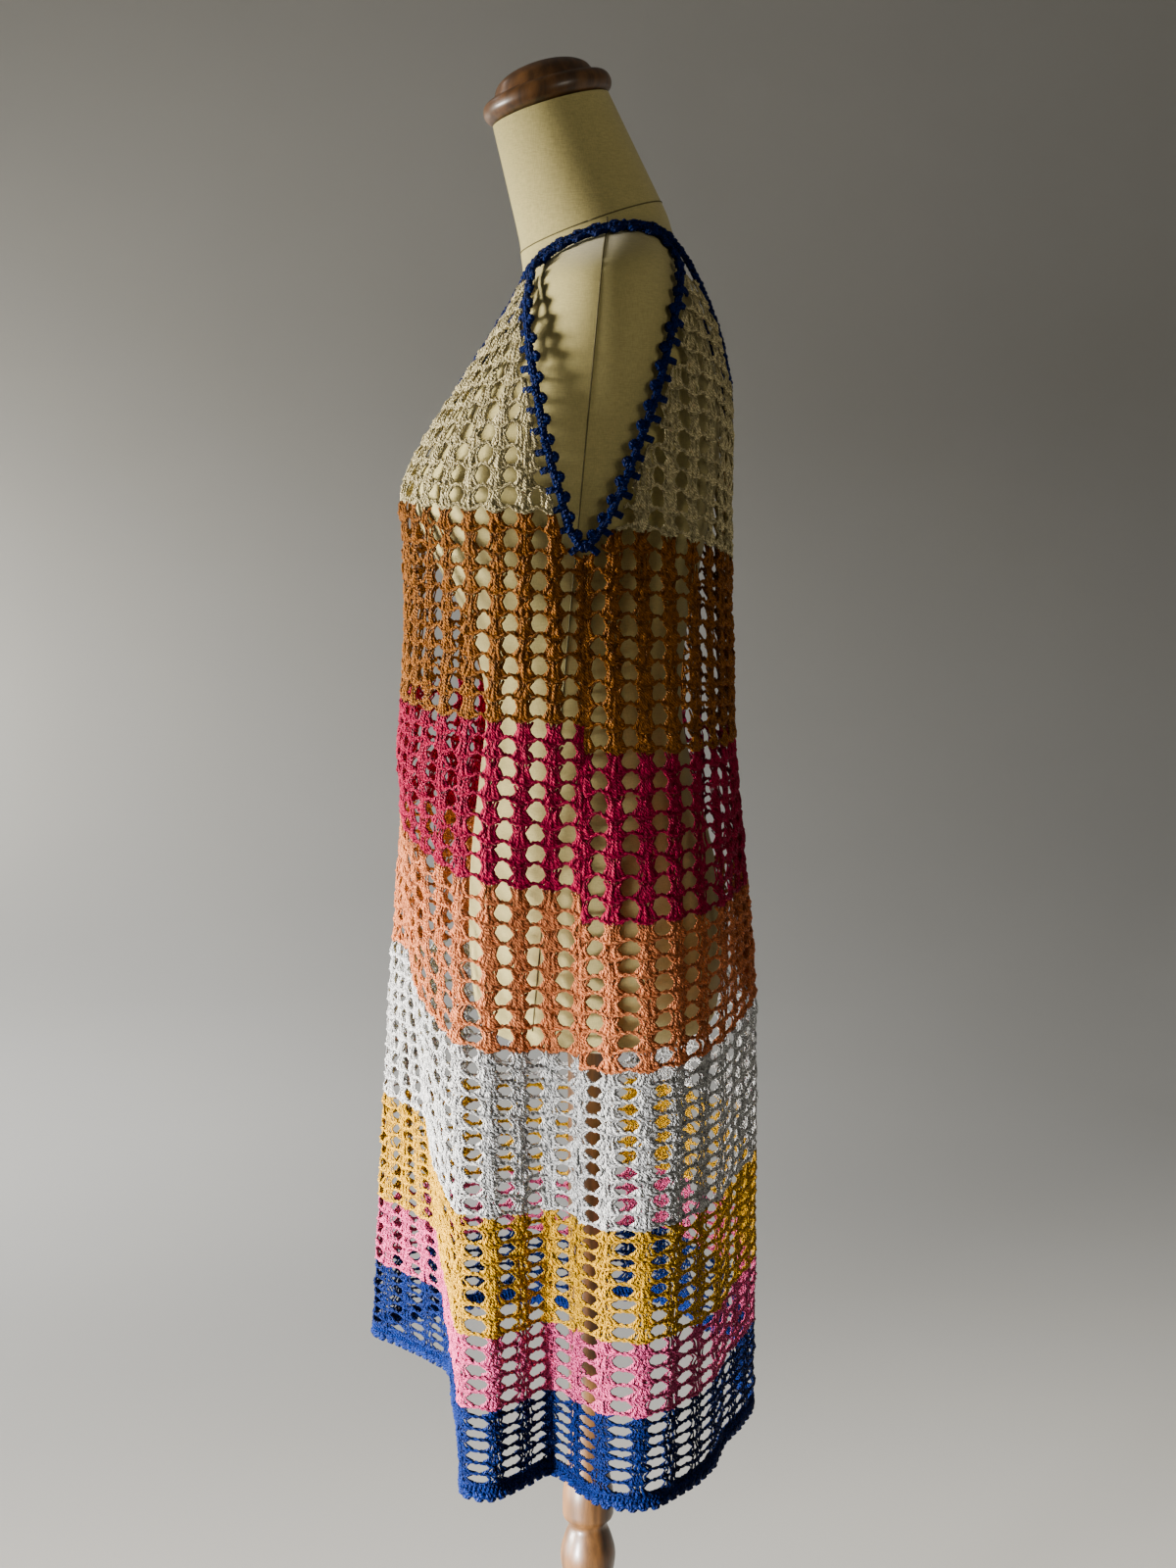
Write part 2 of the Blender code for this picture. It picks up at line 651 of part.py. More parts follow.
def build():
    clear_scene()
    collection = make_collection()
    rough = {"linen": LINEN_ROUGHNESS, "wood": WOOD_ROUGHNESS}
    materials = {name: make_material(name, rough.get(name, YARN_ROUGHNESS)) for name in COLOURS}

    torso = add_torso(materials["linen"], collection)
    cap = add_turned("neck_cap", CAP_PROFILE, CAP_STEPS, materials["wood"], collection)
    neck_top = TORSO[-1]
    tilt = atan2(neck_top.z_back - neck_top.z_front, neck_top.y_back - neck_top.y_front)
    middle_y = (neck_top.y_front + neck_top.y_back) / 2
    middle_z = (neck_top.z_front + neck_top.z_back) / 2
    cap.location = Vector((0.0, middle_y, middle_z)) + Vector((0.0, -sin(tilt), cos(tilt))) * SEAM_GAP
    cap.rotation_euler.x = tilt
    add_turned("pole", POLE_PROFILE, POLE_STEPS, materials["wood"], collection)
    add_turned("base_disc", BASE_PROFILE, BASE_STEPS, materials["wood"], collection)

    tree = BVHTree.FromPolygons(
        [vertex.co.copy() for vertex in torso.data.vertices],
        [list(face.vertices) for face in torso.data.polygons],
    )
    neck = left_neck_path(tree)
    left_armhole = even_loop(left_armhole_path(tree), ARMHOLE_POINTS)
    flip = np.array((-1.0, 1.0, 1.0))
    loops = {
        "neck_edging": even_loop(neck[:-1] + mirrored(neck)[:-1], NECK_POINTS),
        "armhole_edging_left": left_armhole,
        "armhole_edging_right": tuple(part * flip for part in left_armhole),
    }
    for name, loop in loops.items():
        add_edging(name, loop, materials, collection)
    outline = np.vstack([fine_line(loop) for loop in loops.values()])
    for front in (True, False):
        add_bands(front, outline, materials, collection)
        add_hem_edging(front, materials, collection)


build()
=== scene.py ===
"""Looks of the crochet mini dress on its dress form, built round the solids. Metres, front towards -Y."""

from collections import namedtuple
from math import pi, radians

import bpy
import numpy as np
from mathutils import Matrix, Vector
from mathutils.bvhtree import BVHTree


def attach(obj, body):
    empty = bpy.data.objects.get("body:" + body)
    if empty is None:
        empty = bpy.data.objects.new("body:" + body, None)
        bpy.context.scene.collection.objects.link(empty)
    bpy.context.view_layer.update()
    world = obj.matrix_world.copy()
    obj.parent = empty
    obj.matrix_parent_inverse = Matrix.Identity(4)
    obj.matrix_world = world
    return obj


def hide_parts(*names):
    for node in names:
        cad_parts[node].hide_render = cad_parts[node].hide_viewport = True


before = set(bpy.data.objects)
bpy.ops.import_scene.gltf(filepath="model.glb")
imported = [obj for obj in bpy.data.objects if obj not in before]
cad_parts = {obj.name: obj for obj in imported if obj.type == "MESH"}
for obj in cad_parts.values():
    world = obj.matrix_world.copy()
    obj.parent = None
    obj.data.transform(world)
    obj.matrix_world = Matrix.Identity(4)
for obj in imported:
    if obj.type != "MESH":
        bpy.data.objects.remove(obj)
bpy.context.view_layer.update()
chance = np.random.default_rng(7)

# The solids' own sizes, which the yarn follows

FRONT_COLUMNS = 22
BACK_COLUMNS = 20
GIRTH_COLUMNS = FRONT_COLUMNS + BACK_COLUMNS
FOLD_START = 1.02
HEM_HEIGHT = 0.44
FOLD_GROWTH = 0.75
SIDE_SEAM_Y = -0.003
SECTION_POINTS = 241
LINE_POINTS = 22
HEM_EDGING = 0.0090

Section = namedtuple("Section", "z front back half_width squareness")
DRESS_SECTIONS = tuple(Section(*row) for row in (
    (0.430, -0.1740, 0.1500, 0.2080, 2.6),
    (0.590, -0.1760, 0.1470, 0.2020, 2.6),
    (0.690, -0.1770, 0.1450, 0.1980, 2.6),
    (0.820, -0.1760, 0.1420, 0.1900, 2.6),
    (0.920, -0.1710, 0.1320, 0.1810, 2.6),
    (1.000, -0.1650, 0.1265, 0.1720, 2.6),
    (1.080, -0.1580, 0.1235, 0.1640, 2.6),
    (1.200, -0.1550, 0.1205, 0.1560, 2.6),
    (1.245, -0.1565, 0.1200, 0.1585, 2.6),
    (1.282, -0.1395, 0.1195, 0.1630, 2.6),
    (1.330, -0.1080, 0.1180, 0.1690, 2.5),
    (1.378, -0.0760, 0.1080, 0.1730, 2.4),
    (1.415, -0.0540, 0.0930, 0.1700, 2.4),
    (1.450, -0.0420, 0.0740, 0.1550, 2.4),
))

Fold = namedtuple("Fold", "column x y")
HEM_FOLDS = tuple(Fold(*fold) for fold in (
    (0.0, 0.186, -0.010), (1.0, 0.163, -0.031), (2.2, 0.190, -0.056), (3.3, 0.212, -0.082),
    (3.9, 0.206, -0.100), (4.9, 0.176, -0.104), (6.0, 0.140, -0.107), (7.2, 0.105, -0.111),
    (9.1, 0.045, -0.119), (11.0, -0.015, -0.128), (12.2, -0.045, -0.152), (13.5, -0.075, -0.180),
    (14.8, -0.106, -0.206), (16.1, -0.136, -0.181), (17.4, -0.158, -0.146), (18.9, -0.183, -0.106),
    (20.4, -0.196, -0.060), (22.0, -0.180, -0.014), (23.2, -0.204, 0.018), (24.6, -0.208, 0.062),
    (26.1, -0.174, 0.096), (27.4, -0.138, 0.114), (28.8, -0.104, 0.143), (30.1, -0.060, 0.149),
    (31.6, -0.015, 0.136), (33.0, 0.030, 0.147), (34.3, 0.070, 0.134), (35.6, 0.107, 0.116),
    (37.0, 0.150, 0.104), (38.5, 0.192, 0.077), (40.1, 0.221, 0.038), (41.0, 0.212, 0.010),
))

Edge = namedtuple("Edge", "z_front z_front_side z_back_side z_back")
BAND_EDGES = {
    "ecru": Edge(1.241, 1.232, 1.220, 1.191),
    "tan": Edge(1.077, 1.0675, 1.044, 1.041),
    "magenta": Edge(0.974, 0.935, 0.911, 0.917),
    "peach": Edge(0.842, 0.803, 0.793, 0.812),
    "white": Edge(0.689, 0.671, 0.666, 0.675),
    "yellow": Edge(0.585, 0.572, 0.574, 0.576),
    "pink": Edge(0.521, 0.512, 0.512, 0.516),
    "blue": Edge(0.456, 0.446, 0.444, 0.444),
}

Armhole = namedtuple("Armhole", "z front_columns back_columns")
ARMHOLE = (
    Armhole(1.1995, 0.00, 0.00),
    Armhole(1.2125, 0.42, 0.45),
    Armhole(1.2400, 0.75, 1.10),
    Armhole(1.2850, 1.35, 1.85),
    Armhole(1.3240, 1.80, 2.45),
    Armhole(1.3620, 2.40, 3.00),
    Armhole(1.3900, 3.25, 3.60),
    Armhole(1.4070, 4.05, 4.15),
    Armhole(1.4230, 4.75, 4.75),
)

Neck = namedtuple("Neck", "x z_front z_back")
NECK = (
    Neck(0.000, 1.312, 1.276),
    Neck(0.010, 1.322, 1.287),
    Neck(0.030, 1.348, 1.320),
    Neck(0.050, 1.375, 1.358),
    Neck(0.066, 1.398, 1.395),
    Neck(0.0745, 1.4215, 1.4290),
)

CLOTH_TOP = 1.412

Strap = namedtuple("Strap", "y x_neck x_armhole")
STRAPS = (
    Strap(-0.036, 0.0755, 0.0980),
    Strap(-0.016, 0.0780, 0.0905),
    Strap(0.012, 0.0790, 0.0890),
    Strap(0.040, 0.0782, 0.0892),
    Strap(0.066, 0.0755, 0.0950),
)

# Crochet: rows of shells in each colour. neck and foot are half widths of a shell, in columns, where it
# is narrowest and where the chain to the next shell leaves it. drop and arch are in rows: how far the
# middle of a shell reaches below its foot, and how far the chain rises between shells. post and chain are
# yarn thicknesses
Stitch = namedtuple("Stitch", "rows neck foot drop arch post chain")
STITCHES = {
    "ecru": Stitch(14, 0.14, 0.33, 0.22, 0.12, 0.0034, 0.0021),
    "tan": Stitch(10, 0.15, 0.34, 0.22, 0.14, 0.0037, 0.0020),
    "magenta": Stitch(8, 0.15, 0.34, 0.22, 0.12, 0.0037, 0.0020),
    "peach": Stitch(8, 0.15, 0.35, 0.22, 0.06, 0.0038, 0.0021),
    "white": Stitch(10, 0.16, 0.37, 0.24, -0.02, 0.0037, 0.0022),
    "yellow": Stitch(8, 0.16, 0.37, 0.24, -0.02, 0.0035, 0.0022),
    "pink": Stitch(5, 0.16, 0.37, 0.24, -0.03, 0.0036, 0.0022),
    "blue": Stitch(7, 0.16, 0.37, 0.24, -0.03, 0.0032, 0.0019),
}
ECRU_ROW = 0.0164
ECRU_STEPS = 80

# Posts: how far each goes sideways and down at its four rings, its lift off the cloth and its thickness
SHELL_MIDDLE = 0.6
POSTS_PER_SIDE = 3
POST_SIDES = 4
POST_RINGS = 4
POST_START = 0.14
POST_NECK = 0.48
POST_KNEE = 0.52
POST_INNER = 0.03
POST_TOP_SPREAD = 0.68
POST_KNEE_SPREAD = 0.36
POST_LIFT = (-0.0002, 0.0009, 0.0012, 0.0002)
OUTER_POST_SINK = 0.0003
POST_TAPER = (0.50, 0.82, 0.96, 1.04)
POST_FLAT = 0.50
SLIT = 0.050
DROP_CURVE = 0.8

# Where the ecru shells stand closer, and by how much
DENSE_FROM = 1.32
DENSE_BY = 1.40
DENSE_EDGE = 1.0
DENSE_NECK = 0.16
DENSE_FOOT = 0.10

# Chains along the rows: their twist, and how they swell under the shells
SPAN_STEPS = 40
CHAIN_SIDES = 4
CHAIN_POINTS = 8
CHAIN_TWIST = 0.48
CHAIN_TURNS = 2.6
CHAIN_SWELL = 0.20
SWELL_EDGE = 0.04
CHAIN_DROP = 0.8
CHAIN_LIFT = 0.0002
WIDEST_FOOT = 0.47

# Edges of the cloth, in columns and metres
EDGE_REACH = 0.15
SEAM_OFFSET = 0.035
EDGE_GAP = 0.0078
LEAST_WIDTH = 0.35
NECK_REACH = 2.5
NECK_STEPS = 60

# How far stitches and posts stray by chance
JITTER_COLUMN = 0.030
JITTER_ROW = 0.065
JITTER_LIFT = 0.0006
EDGE_ROW_JITTER = 0.3
POST_JITTER_COLUMN = 0.014
POST_JITTER_ROW = 0.030
POST_JITTER_LIFT = 0.0007
POST_JITTER_YARN = 0.08

# Length of one turn of the plies, and how far their pattern starts along it by chance
PLY_LAY = 0.0028
PLY_START = 7.0

# The side seams sink in below the armholes
SEAM_SINK = 0.0060
SEAM_WIDTH = 0.30
SEAM_TOP = 1.22
SEAM_FADE = 0.96

# Surface grid that the yarn is laid on
GRID_PER_COLUMN = 8
GRID_STEP = 0.004
GRID_LOW = 0.42
GRID_HIGH = 1.47

Panel = namedtuple("Panel", "side start count")
PANELS = (Panel("front", 0, FRONT_COLUMNS), Panel("back", FRONT_COLUMNS, BACK_COLUMNS))

COLOURS = {
    "ecru": (0.93, 0.79, 0.42),
    "tan": (0.42, 0.145, 0.016),
    "magenta": (0.52, 0.0, 0.065),
    "peach": (0.92, 0.27, 0.09),
    "white": (0.88, 0.87, 0.86),
    "yellow": (0.86, 0.45, 0.002),
    "pink": (0.88, 0.10, 0.29),
    "blue": (0.001, 0.016, 0.14),
    "linen": (0.47, 0.395, 0.145),
    "thread": (0.1034, 0.0869, 0.0319),
    "wood": (0.105, 0.045, 0.012),
    "floor": (0.50, 0.49, 0.46),
}


def values(rows, name):
    return np.array([getattr(row, name) for row in rows])


def curve(column, slopes, step, i, u):
    """Smooth curve from row i of a column to the next, at the share u of the way, with the slopes given."""
    start = column[i] * (1 + 2 * u) * (1 - u) ** 2 + slopes[i] * step * u * (1 - u) ** 2
    return start + column[i + 1] * u * u * (3 - 2 * u) + slopes[i + 1] * step * u * u * (u - 1)


def smooth_read(rows, key, name, at):
    """One column of a table at the key values given, on a smooth curve through the table's rows."""
    keys = values(rows, key)
    column = values(rows, name)
    slopes = np.gradient(column, keys)
    at = np.clip(at, keys[0], keys[-1])
    i = np.clip(np.searchsorted(keys, at) - 1, 0, len(keys) - 2)
    step = keys[i + 1] - keys[i]
    return curve(column, slopes, step, i, (at - keys[i]) / step)


def unit(vectors):
    length = np.linalg.norm(vectors, axis=-1, keepdims=True)
    return vectors / np.maximum(length, 1e-12)


def run_length(points):
    """Distance from the start of a path to each of its points."""
    return np.concatenate(([0.0], np.cumsum(np.linalg.norm(np.diff(points, axis=0), axis=1))))


def hand_over(piece, node):
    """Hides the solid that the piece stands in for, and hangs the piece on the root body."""
    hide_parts(node)
    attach(piece, "root")
    return piece


def new_piece(name, mesh, material):
    mesh.shade_smooth()
    mesh.materials.append(material)
    piece = bpy.data.objects.new(name, mesh)
    bpy.context.scene.collection.objects.link(piece)
    return piece


def ring_skin(name, rings, material, lid=True):
    """A piece through rings of points (ring, point, xyz), with a flat start and, with a lid, a flat end."""
    index = np.arange(rings.size // 3).reshape(rings.shape[:2])
    after = np.roll(index, -1, 1)
    quads = np.stack((index[:-1], index[1:], after[1:], after[:-1]), axis=-1).reshape(-1, 4)
    faces = [index[0].tolist(), *quads.tolist()]
    if lid:
        faces.append(index[-1, ::-1].tolist())
    mesh = bpy.data.meshes.new(name)
    mesh.from_pydata(rings.reshape(-1, 3), [], faces)
    return new_piece(name, mesh, material)


def tree_of(mesh):
    """The mesh as a tree that rays are cast at."""
    corners = [vertex.co.copy() for vertex in mesh.vertices]
    return BVHTree.FromPolygons(corners, [list(face.vertices) for face in mesh.polygons])


# The surface of the dress

def half_section(z, front):
    """Half a plan section, from one side seam over the front or back centre to the other, by length."""
    half_width = smooth_read(DRESS_SECTIONS, "z", "half_width", z)
    depth = smooth_read(DRESS_SECTIONS, "z", "front" if front else "back", z) - SIDE_SEAM_Y
    power = 2.0 / smooth_read(DRESS_SECTIONS, "z", "squareness", z)
    angle = np.linspace(0.0, pi, SECTION_POINTS)
    side = 1.0 if front else -1.0
    x = side * half_width * np.sign(np.cos(angle)) * np.abs(np.cos(angle)) ** power
    y = SIDE_SEAM_Y + depth * np.abs(np.sin(angle)) ** power
    return x, y, run_length(np.column_stack((x, y)))


def hem_plan(columns):
    first, last = HEM_FOLDS[0], HEM_FOLDS[-1]
    before = last._replace(column=last.column - GIRTH_COLUMNS)
    after = [fold._replace(column=fold.column + GIRTH_COLUMNS) for fold in (first, HEM_FOLDS[1])]
    rows = (before, *HEM_FOLDS, *after)
    return np.column_stack([smooth_read(rows, "column", name, columns) for name in ("x", "y")])


def dress_grid():
    """Points and outward directions of the dress wall's middle, over all heights and all columns."""
    columns = np.arange(GIRTH_COLUMNS * GRID_PER_COLUMN) / GRID_PER_COLUMN
    heights = np.arange(GRID_LOW, GRID_HIGH, GRID_STEP)
    hem = hem_plan(columns)
    points = np.empty((len(heights), len(columns), 3))
    for row, z in enumerate(heights):
        for panel in PANELS:
            x, y, length = half_section(z, panel.side == "front")
            own = (columns >= panel.start) & (columns < panel.start + panel.count)
            at = (columns[own] - panel.start) / panel.count * length[-1]
            points[row, own, 0] = np.interp(at, length, x)
            points[row, own, 1] = np.interp(at, length, y)
        fold = np.clip((FOLD_START - z) / (FOLD_START - HEM_HEIGHT), 0.0, 1.0) ** FOLD_GROWTH
        points[row, :, :2] += (hem - points[row, :, :2]) * fold
        points[row, :, 2] = z
    along = np.roll(points, -1, 1) - np.roll(points, 1, 1)
    up = np.gradient(points, axis=0)
    return points, unit(np.cross(up, along))


GRID_POINTS, GRID_NORMALS = dress_grid()


def on_dress(columns, heights, lift=0.0):
    """Places on the dress at columns and heights, moved outwards by lift, and the directions outwards."""
    columns, heights = np.broadcast_arrays(columns, heights)
    across = (columns % GIRTH_COLUMNS) * GRID_PER_COLUMN
    up = np.clip((heights - GRID_LOW) / GRID_STEP, 0.0, len(GRID_POINTS) - 1.001)
    i, j = up.astype(int), across.astype(int)
    u, v = (up - i)[..., None], (across - j)[..., None]
    j %= GIRTH_COLUMNS * GRID_PER_COLUMN
    following = (j + 1) % (GIRTH_COLUMNS * GRID_PER_COLUMN)

    def read(grid):
        lower = grid[i, j] * (1 - v) + grid[i, following] * v
        upper = grid[i + 1, j] * (1 - v) + grid[i + 1, following] * v
        return lower * (1 - u) + upper * u

    normals = unit(read(GRID_NORMALS))
    return read(GRID_POINTS) + normals * np.asarray(lift)[..., None], normals


def band_edge(name, panel, across):
    """Height of a colour's lower edge at distances across a panel, in columns from its first side seam."""
    edge = BAND_EDGES[name]
    if panel.side == "front":
        centre, side = edge.z_front, edge.z_front_side
    else:
        centre, side = edge.z_back, edge.z_back_side
    return side + (centre - side) * np.sin(pi * across / panel.count) ** 2


def row_heights(name, panel):
    """Height of each row's line, top to bottom, at even steps across the panel."""
    across = np.arange(panel.count * GRID_PER_COLUMN + 1) / GRID_PER_COLUMN
    rows = STITCHES[name].rows
    bottom = band_edge(name, panel, across)
    if name != "ecru":
        names = list(BAND_EDGES)
        top = band_edge(names[names.index(name) - 1], panel, across)
        share = np.arange(rows + 1)[:, None] / rows
        return top + (bottom - top) * share
    lines = np.empty((rows + 1, len(across)))
    for place, start in enumerate(bottom):
        heights = np.linspace(start, GRID_HIGH, ECRU_STEPS)
        points, _ = on_dress(panel.start + across[place], heights)
        lines[:, place] = np.interp(np.arange(rows, -1, -1) * ECRU_ROW, run_length(points), heights)
    return lines


def height_at(lines, across, row):
    """Height at distances across a panel and at places counted in rows from the top of a colour."""
    across, row = np.broadcast_arrays(across, row)
    above = np.clip(np.floor(row).astype(int), 0, len(lines) - 2)
    place = np.clip(across * GRID_PER_COLUMN, 0.0, lines.shape[1] - 1.001)
    j = place.astype(int)
    share = place - j
    top = lines[above, j] * (1 - share) + lines[above, j + 1] * share
    bottom = lines[above + 1, j] * (1 - share) + lines[above + 1, j + 1] * share
    return top + (bottom - top) * (row - above)


# Outlines of the armholes and the neck

def armhole_line(panel):
    """Left armhole edge on one panel, as columns from the side seam, and heights."""
    heights = np.linspace(ARMHOLE[0].z, ARMHOLE[-1].z, LINE_POINTS)
    return smooth_read(ARMHOLE, "z", panel.side + "_columns", heights), heights


def neck_line(panel):
    """Half the V neck on one panel, lowest point to strap, as columns from the centre, and heights."""
    widths = np.linspace(NECK[0].x, NECK[-1].x, LINE_POINTS)
    heights = smooth_read(NECK, "x", "z_" + panel.side, widths)
    centre = panel.start + panel.count / 2
    away = np.linspace(0.0, panel.count / 2 - NECK_REACH, NECK_STEPS)
    columns = [0.0]
    for x, z in zip(widths[1:], heights[1:]):
        places, _ = on_dress(centre + away, z)
        columns.append(np.interp(x, np.abs(places[:, 0]), away))
    return np.array(columns), heights


def moved_in(line, pitch, gap):
    """An outline moved on to the cloth by a gap. The cloth is on the side of more columns."""
    columns, heights = line
    slope_column, slope_height = np.gradient(columns * pitch), np.gradient(heights)
    length = np.hypot(slope_column, slope_height)
    heights = heights - gap * slope_column / length
    columns = columns + gap * slope_height / length / pitch
    order = np.argsort(heights)
    return columns[order], heights[order]


Outline = namedtuple("Outline", "arm_columns arm_heights neck_columns neck_heights")


def panel_outline(panel, gap):
    _, _, length = half_section(ARMHOLE[3].z, panel.side == "front")
    pitch = length[-1] / panel.count
    return Outline(*moved_in(armhole_line(panel), pitch, gap), *moved_in(neck_line(panel), pitch, gap))


def limits(panel, outline, across, heights):
    """Lowest and highest place of cloth across the panel, on the side where each point is."""
    low = np.interp(heights, outline.arm_heights, outline.arm_columns, left=SEAM_OFFSET)
    low = np.maximum(low, SEAM_OFFSET)
    neck = np.interp(heights, outline.neck_heights, outline.neck_columns, left=-panel.count)
    middle = panel.count / 2
    left = across < middle
    return np.where(left, low, middle + neck), np.where(left, middle - neck, panel.count - low)


def kept_on(panel, outline, across, heights):
    low, high = limits(panel, outline, across, heights)
    high = np.minimum(high, panel.count - SEAM_OFFSET)
    return np.clip(across, np.minimum(np.maximum(low, SEAM_OFFSET), high), high)


# Yarn as tubes

class Yarn:
    """Collects tubes of yarn, all closed at their ends, and makes one mesh of them."""

    def __init__(self):
        self.points, self.loops, self.starts, self.wraps = [], [], [], []
        self.point_count = 0
        self.loop_count = 0

    def add(self, paths, normals, radii, sides, flat=1.0):
        """Tubes along paths (tube, ring, xyz), with the directions that face outwards and the radii."""
        tubes, rings = paths.shape[:2]
        radii = np.broadcast_to(radii, (tubes, rings))
        tangents = unit(np.gradient(paths, axis=1))
        across = unit(np.cross(normals, tangents))
        up = np.cross(tangents, across)
        turn = 2 * pi * np.arange(sides) / sides
        spokes = across[:, :, None] * np.cos(turn)[:, None] + up[:, :, None] * np.sin(turn)[:, None] * flat
        points = paths[:, :, None] + spokes * radii[:, :, None, None]
        self.points.append(points.reshape(-1, 3))

        index = self.point_count + np.arange(tubes * rings * sides).reshape(tubes, rings, sides)
        after = np.roll(index, -1, 2)
        quads = np.stack((index[:, :-1], after[:, :-1], after[:, 1:], index[:, 1:]), axis=-1)
        steps = np.linalg.norm(np.diff(paths, axis=1), axis=2)
        length = np.concatenate((np.zeros((tubes, 1)), np.cumsum(steps, axis=1)), axis=1) / PLY_LAY
        length = length + chance.random((tubes, 1)) * PLY_START
        start = np.broadcast_to(length[:, :-1, None], (tubes, rings - 1, sides))
        end = np.broadcast_to(length[:, 1:, None], (tubes, rings - 1, sides))
        round_start = np.broadcast_to(np.arange(sides) / sides, start.shape)
        round_end = round_start + 1.0 / sides
        wraps = np.stack((start, round_start, start, round_end, end, round_end, end, round_start), axis=-1)

        caps = np.stack((index[:, 0, ::-1], index[:, -1]), axis=1)
        self.loops += [quads.reshape(-1), caps.reshape(-1)]
        self.wraps += [wraps.reshape(-1), np.zeros(caps.size * 2)]
        self.starts.append(self.loop_count + 4 * np.arange(quads.size // 4))
        self.loop_count += quads.size
        self.starts.append(self.loop_count + sides * np.arange(caps.size // sides))
        self.loop_count += caps.size
        self.point_count += index.size

    def make(self, name, material):
        mesh = bpy.data.meshes.new(name)
        mesh.vertices.add(self.point_count)
        mesh.vertices.foreach_set("co", np.concatenate(self.points).ravel())
        mesh.loops.add(self.loop_count)
        mesh.loops.foreach_set("vertex_index", np.concatenate(self.loops))
        starts = np.concatenate(self.starts)
        mesh.polygons.add(len(starts))
        mesh.polygons.foreach_set("loop_start", starts)
        layer = mesh.uv_layers.new(name="Yarn")
        layer.data.foreach_set("uv", np.concatenate(self.wraps))
        mesh.update(calc_edges=True)
        return new_piece(name, mesh, material)


# Cords: how far the strands lie from the middle, their thickness and count, the length of a full turn, the
# sides of each strand, and how flat the cord lies
Cord = namedtuple("Cord", "offset yarn strands lay sides flat")
EDGING_CORD = Cord(0.0019, 0.0035, 3, 0.0105, 6, 0.65)
HEM_CORD = Cord(0.0009, 0.0023, 2, 0.0075, 5, 1.0)
SEAM_CORD = Cord(0.0008, 0.0022, 2, 0.0085, 4, 1.0)


def twisted(yarn, path, normals, cord):
    """Strands of yarn laid round one path as a cord."""
    tangents = unit(np.gradient(path, axis=0))
    across = unit(np.cross(normals, tangents))
    for strand in range(cord.strands):
        turn = 2 * pi * (run_length(path) / cord.lay + strand / cord.strands)
        side = across * np.cos(turn)[:, None] + normals * cord.flat * np.sin(turn)[:, None]
        yarn.add((path + side * cord.offset)[None], normals[None], cord.yarn / 2, cord.sides)


# Rows of shells

def seam_sink(columns, heights):
    """How far the cloth sinks in at the side seams, fading out down the skirt."""
    columns = columns % GIRTH_COLUMNS
    off = np.minimum(np.abs(columns - FRONT_COLUMNS), np.minimum(columns, GIRTH_COLUMNS - columns))
    share = np.clip((heights - SEAM_FADE) / (SEAM_TOP - SEAM_FADE), 0.0, 1.0)
    return -SEAM_SINK * share * np.exp(-((off / SEAM_WIDTH) ** 2))


def closeness(panel, outline, name, columns, heights):
    """How much closer the ecru shells stand, from 0 to 1: near the straps and along the edgings."""
    if name != "ecru":
        return np.zeros(np.shape(columns))
    low, high = limits(panel, outline, columns, heights)
    near = np.minimum(columns - low, high - columns)
    by_edge = np.clip(1.0 - near / DENSE_EDGE, 0.0, 1.0)
    by_strap = np.clip((heights - DENSE_FROM) / (DENSE_BY - DENSE_FROM), 0.0, 1.0)
    return np.maximum(by_edge, by_strap)


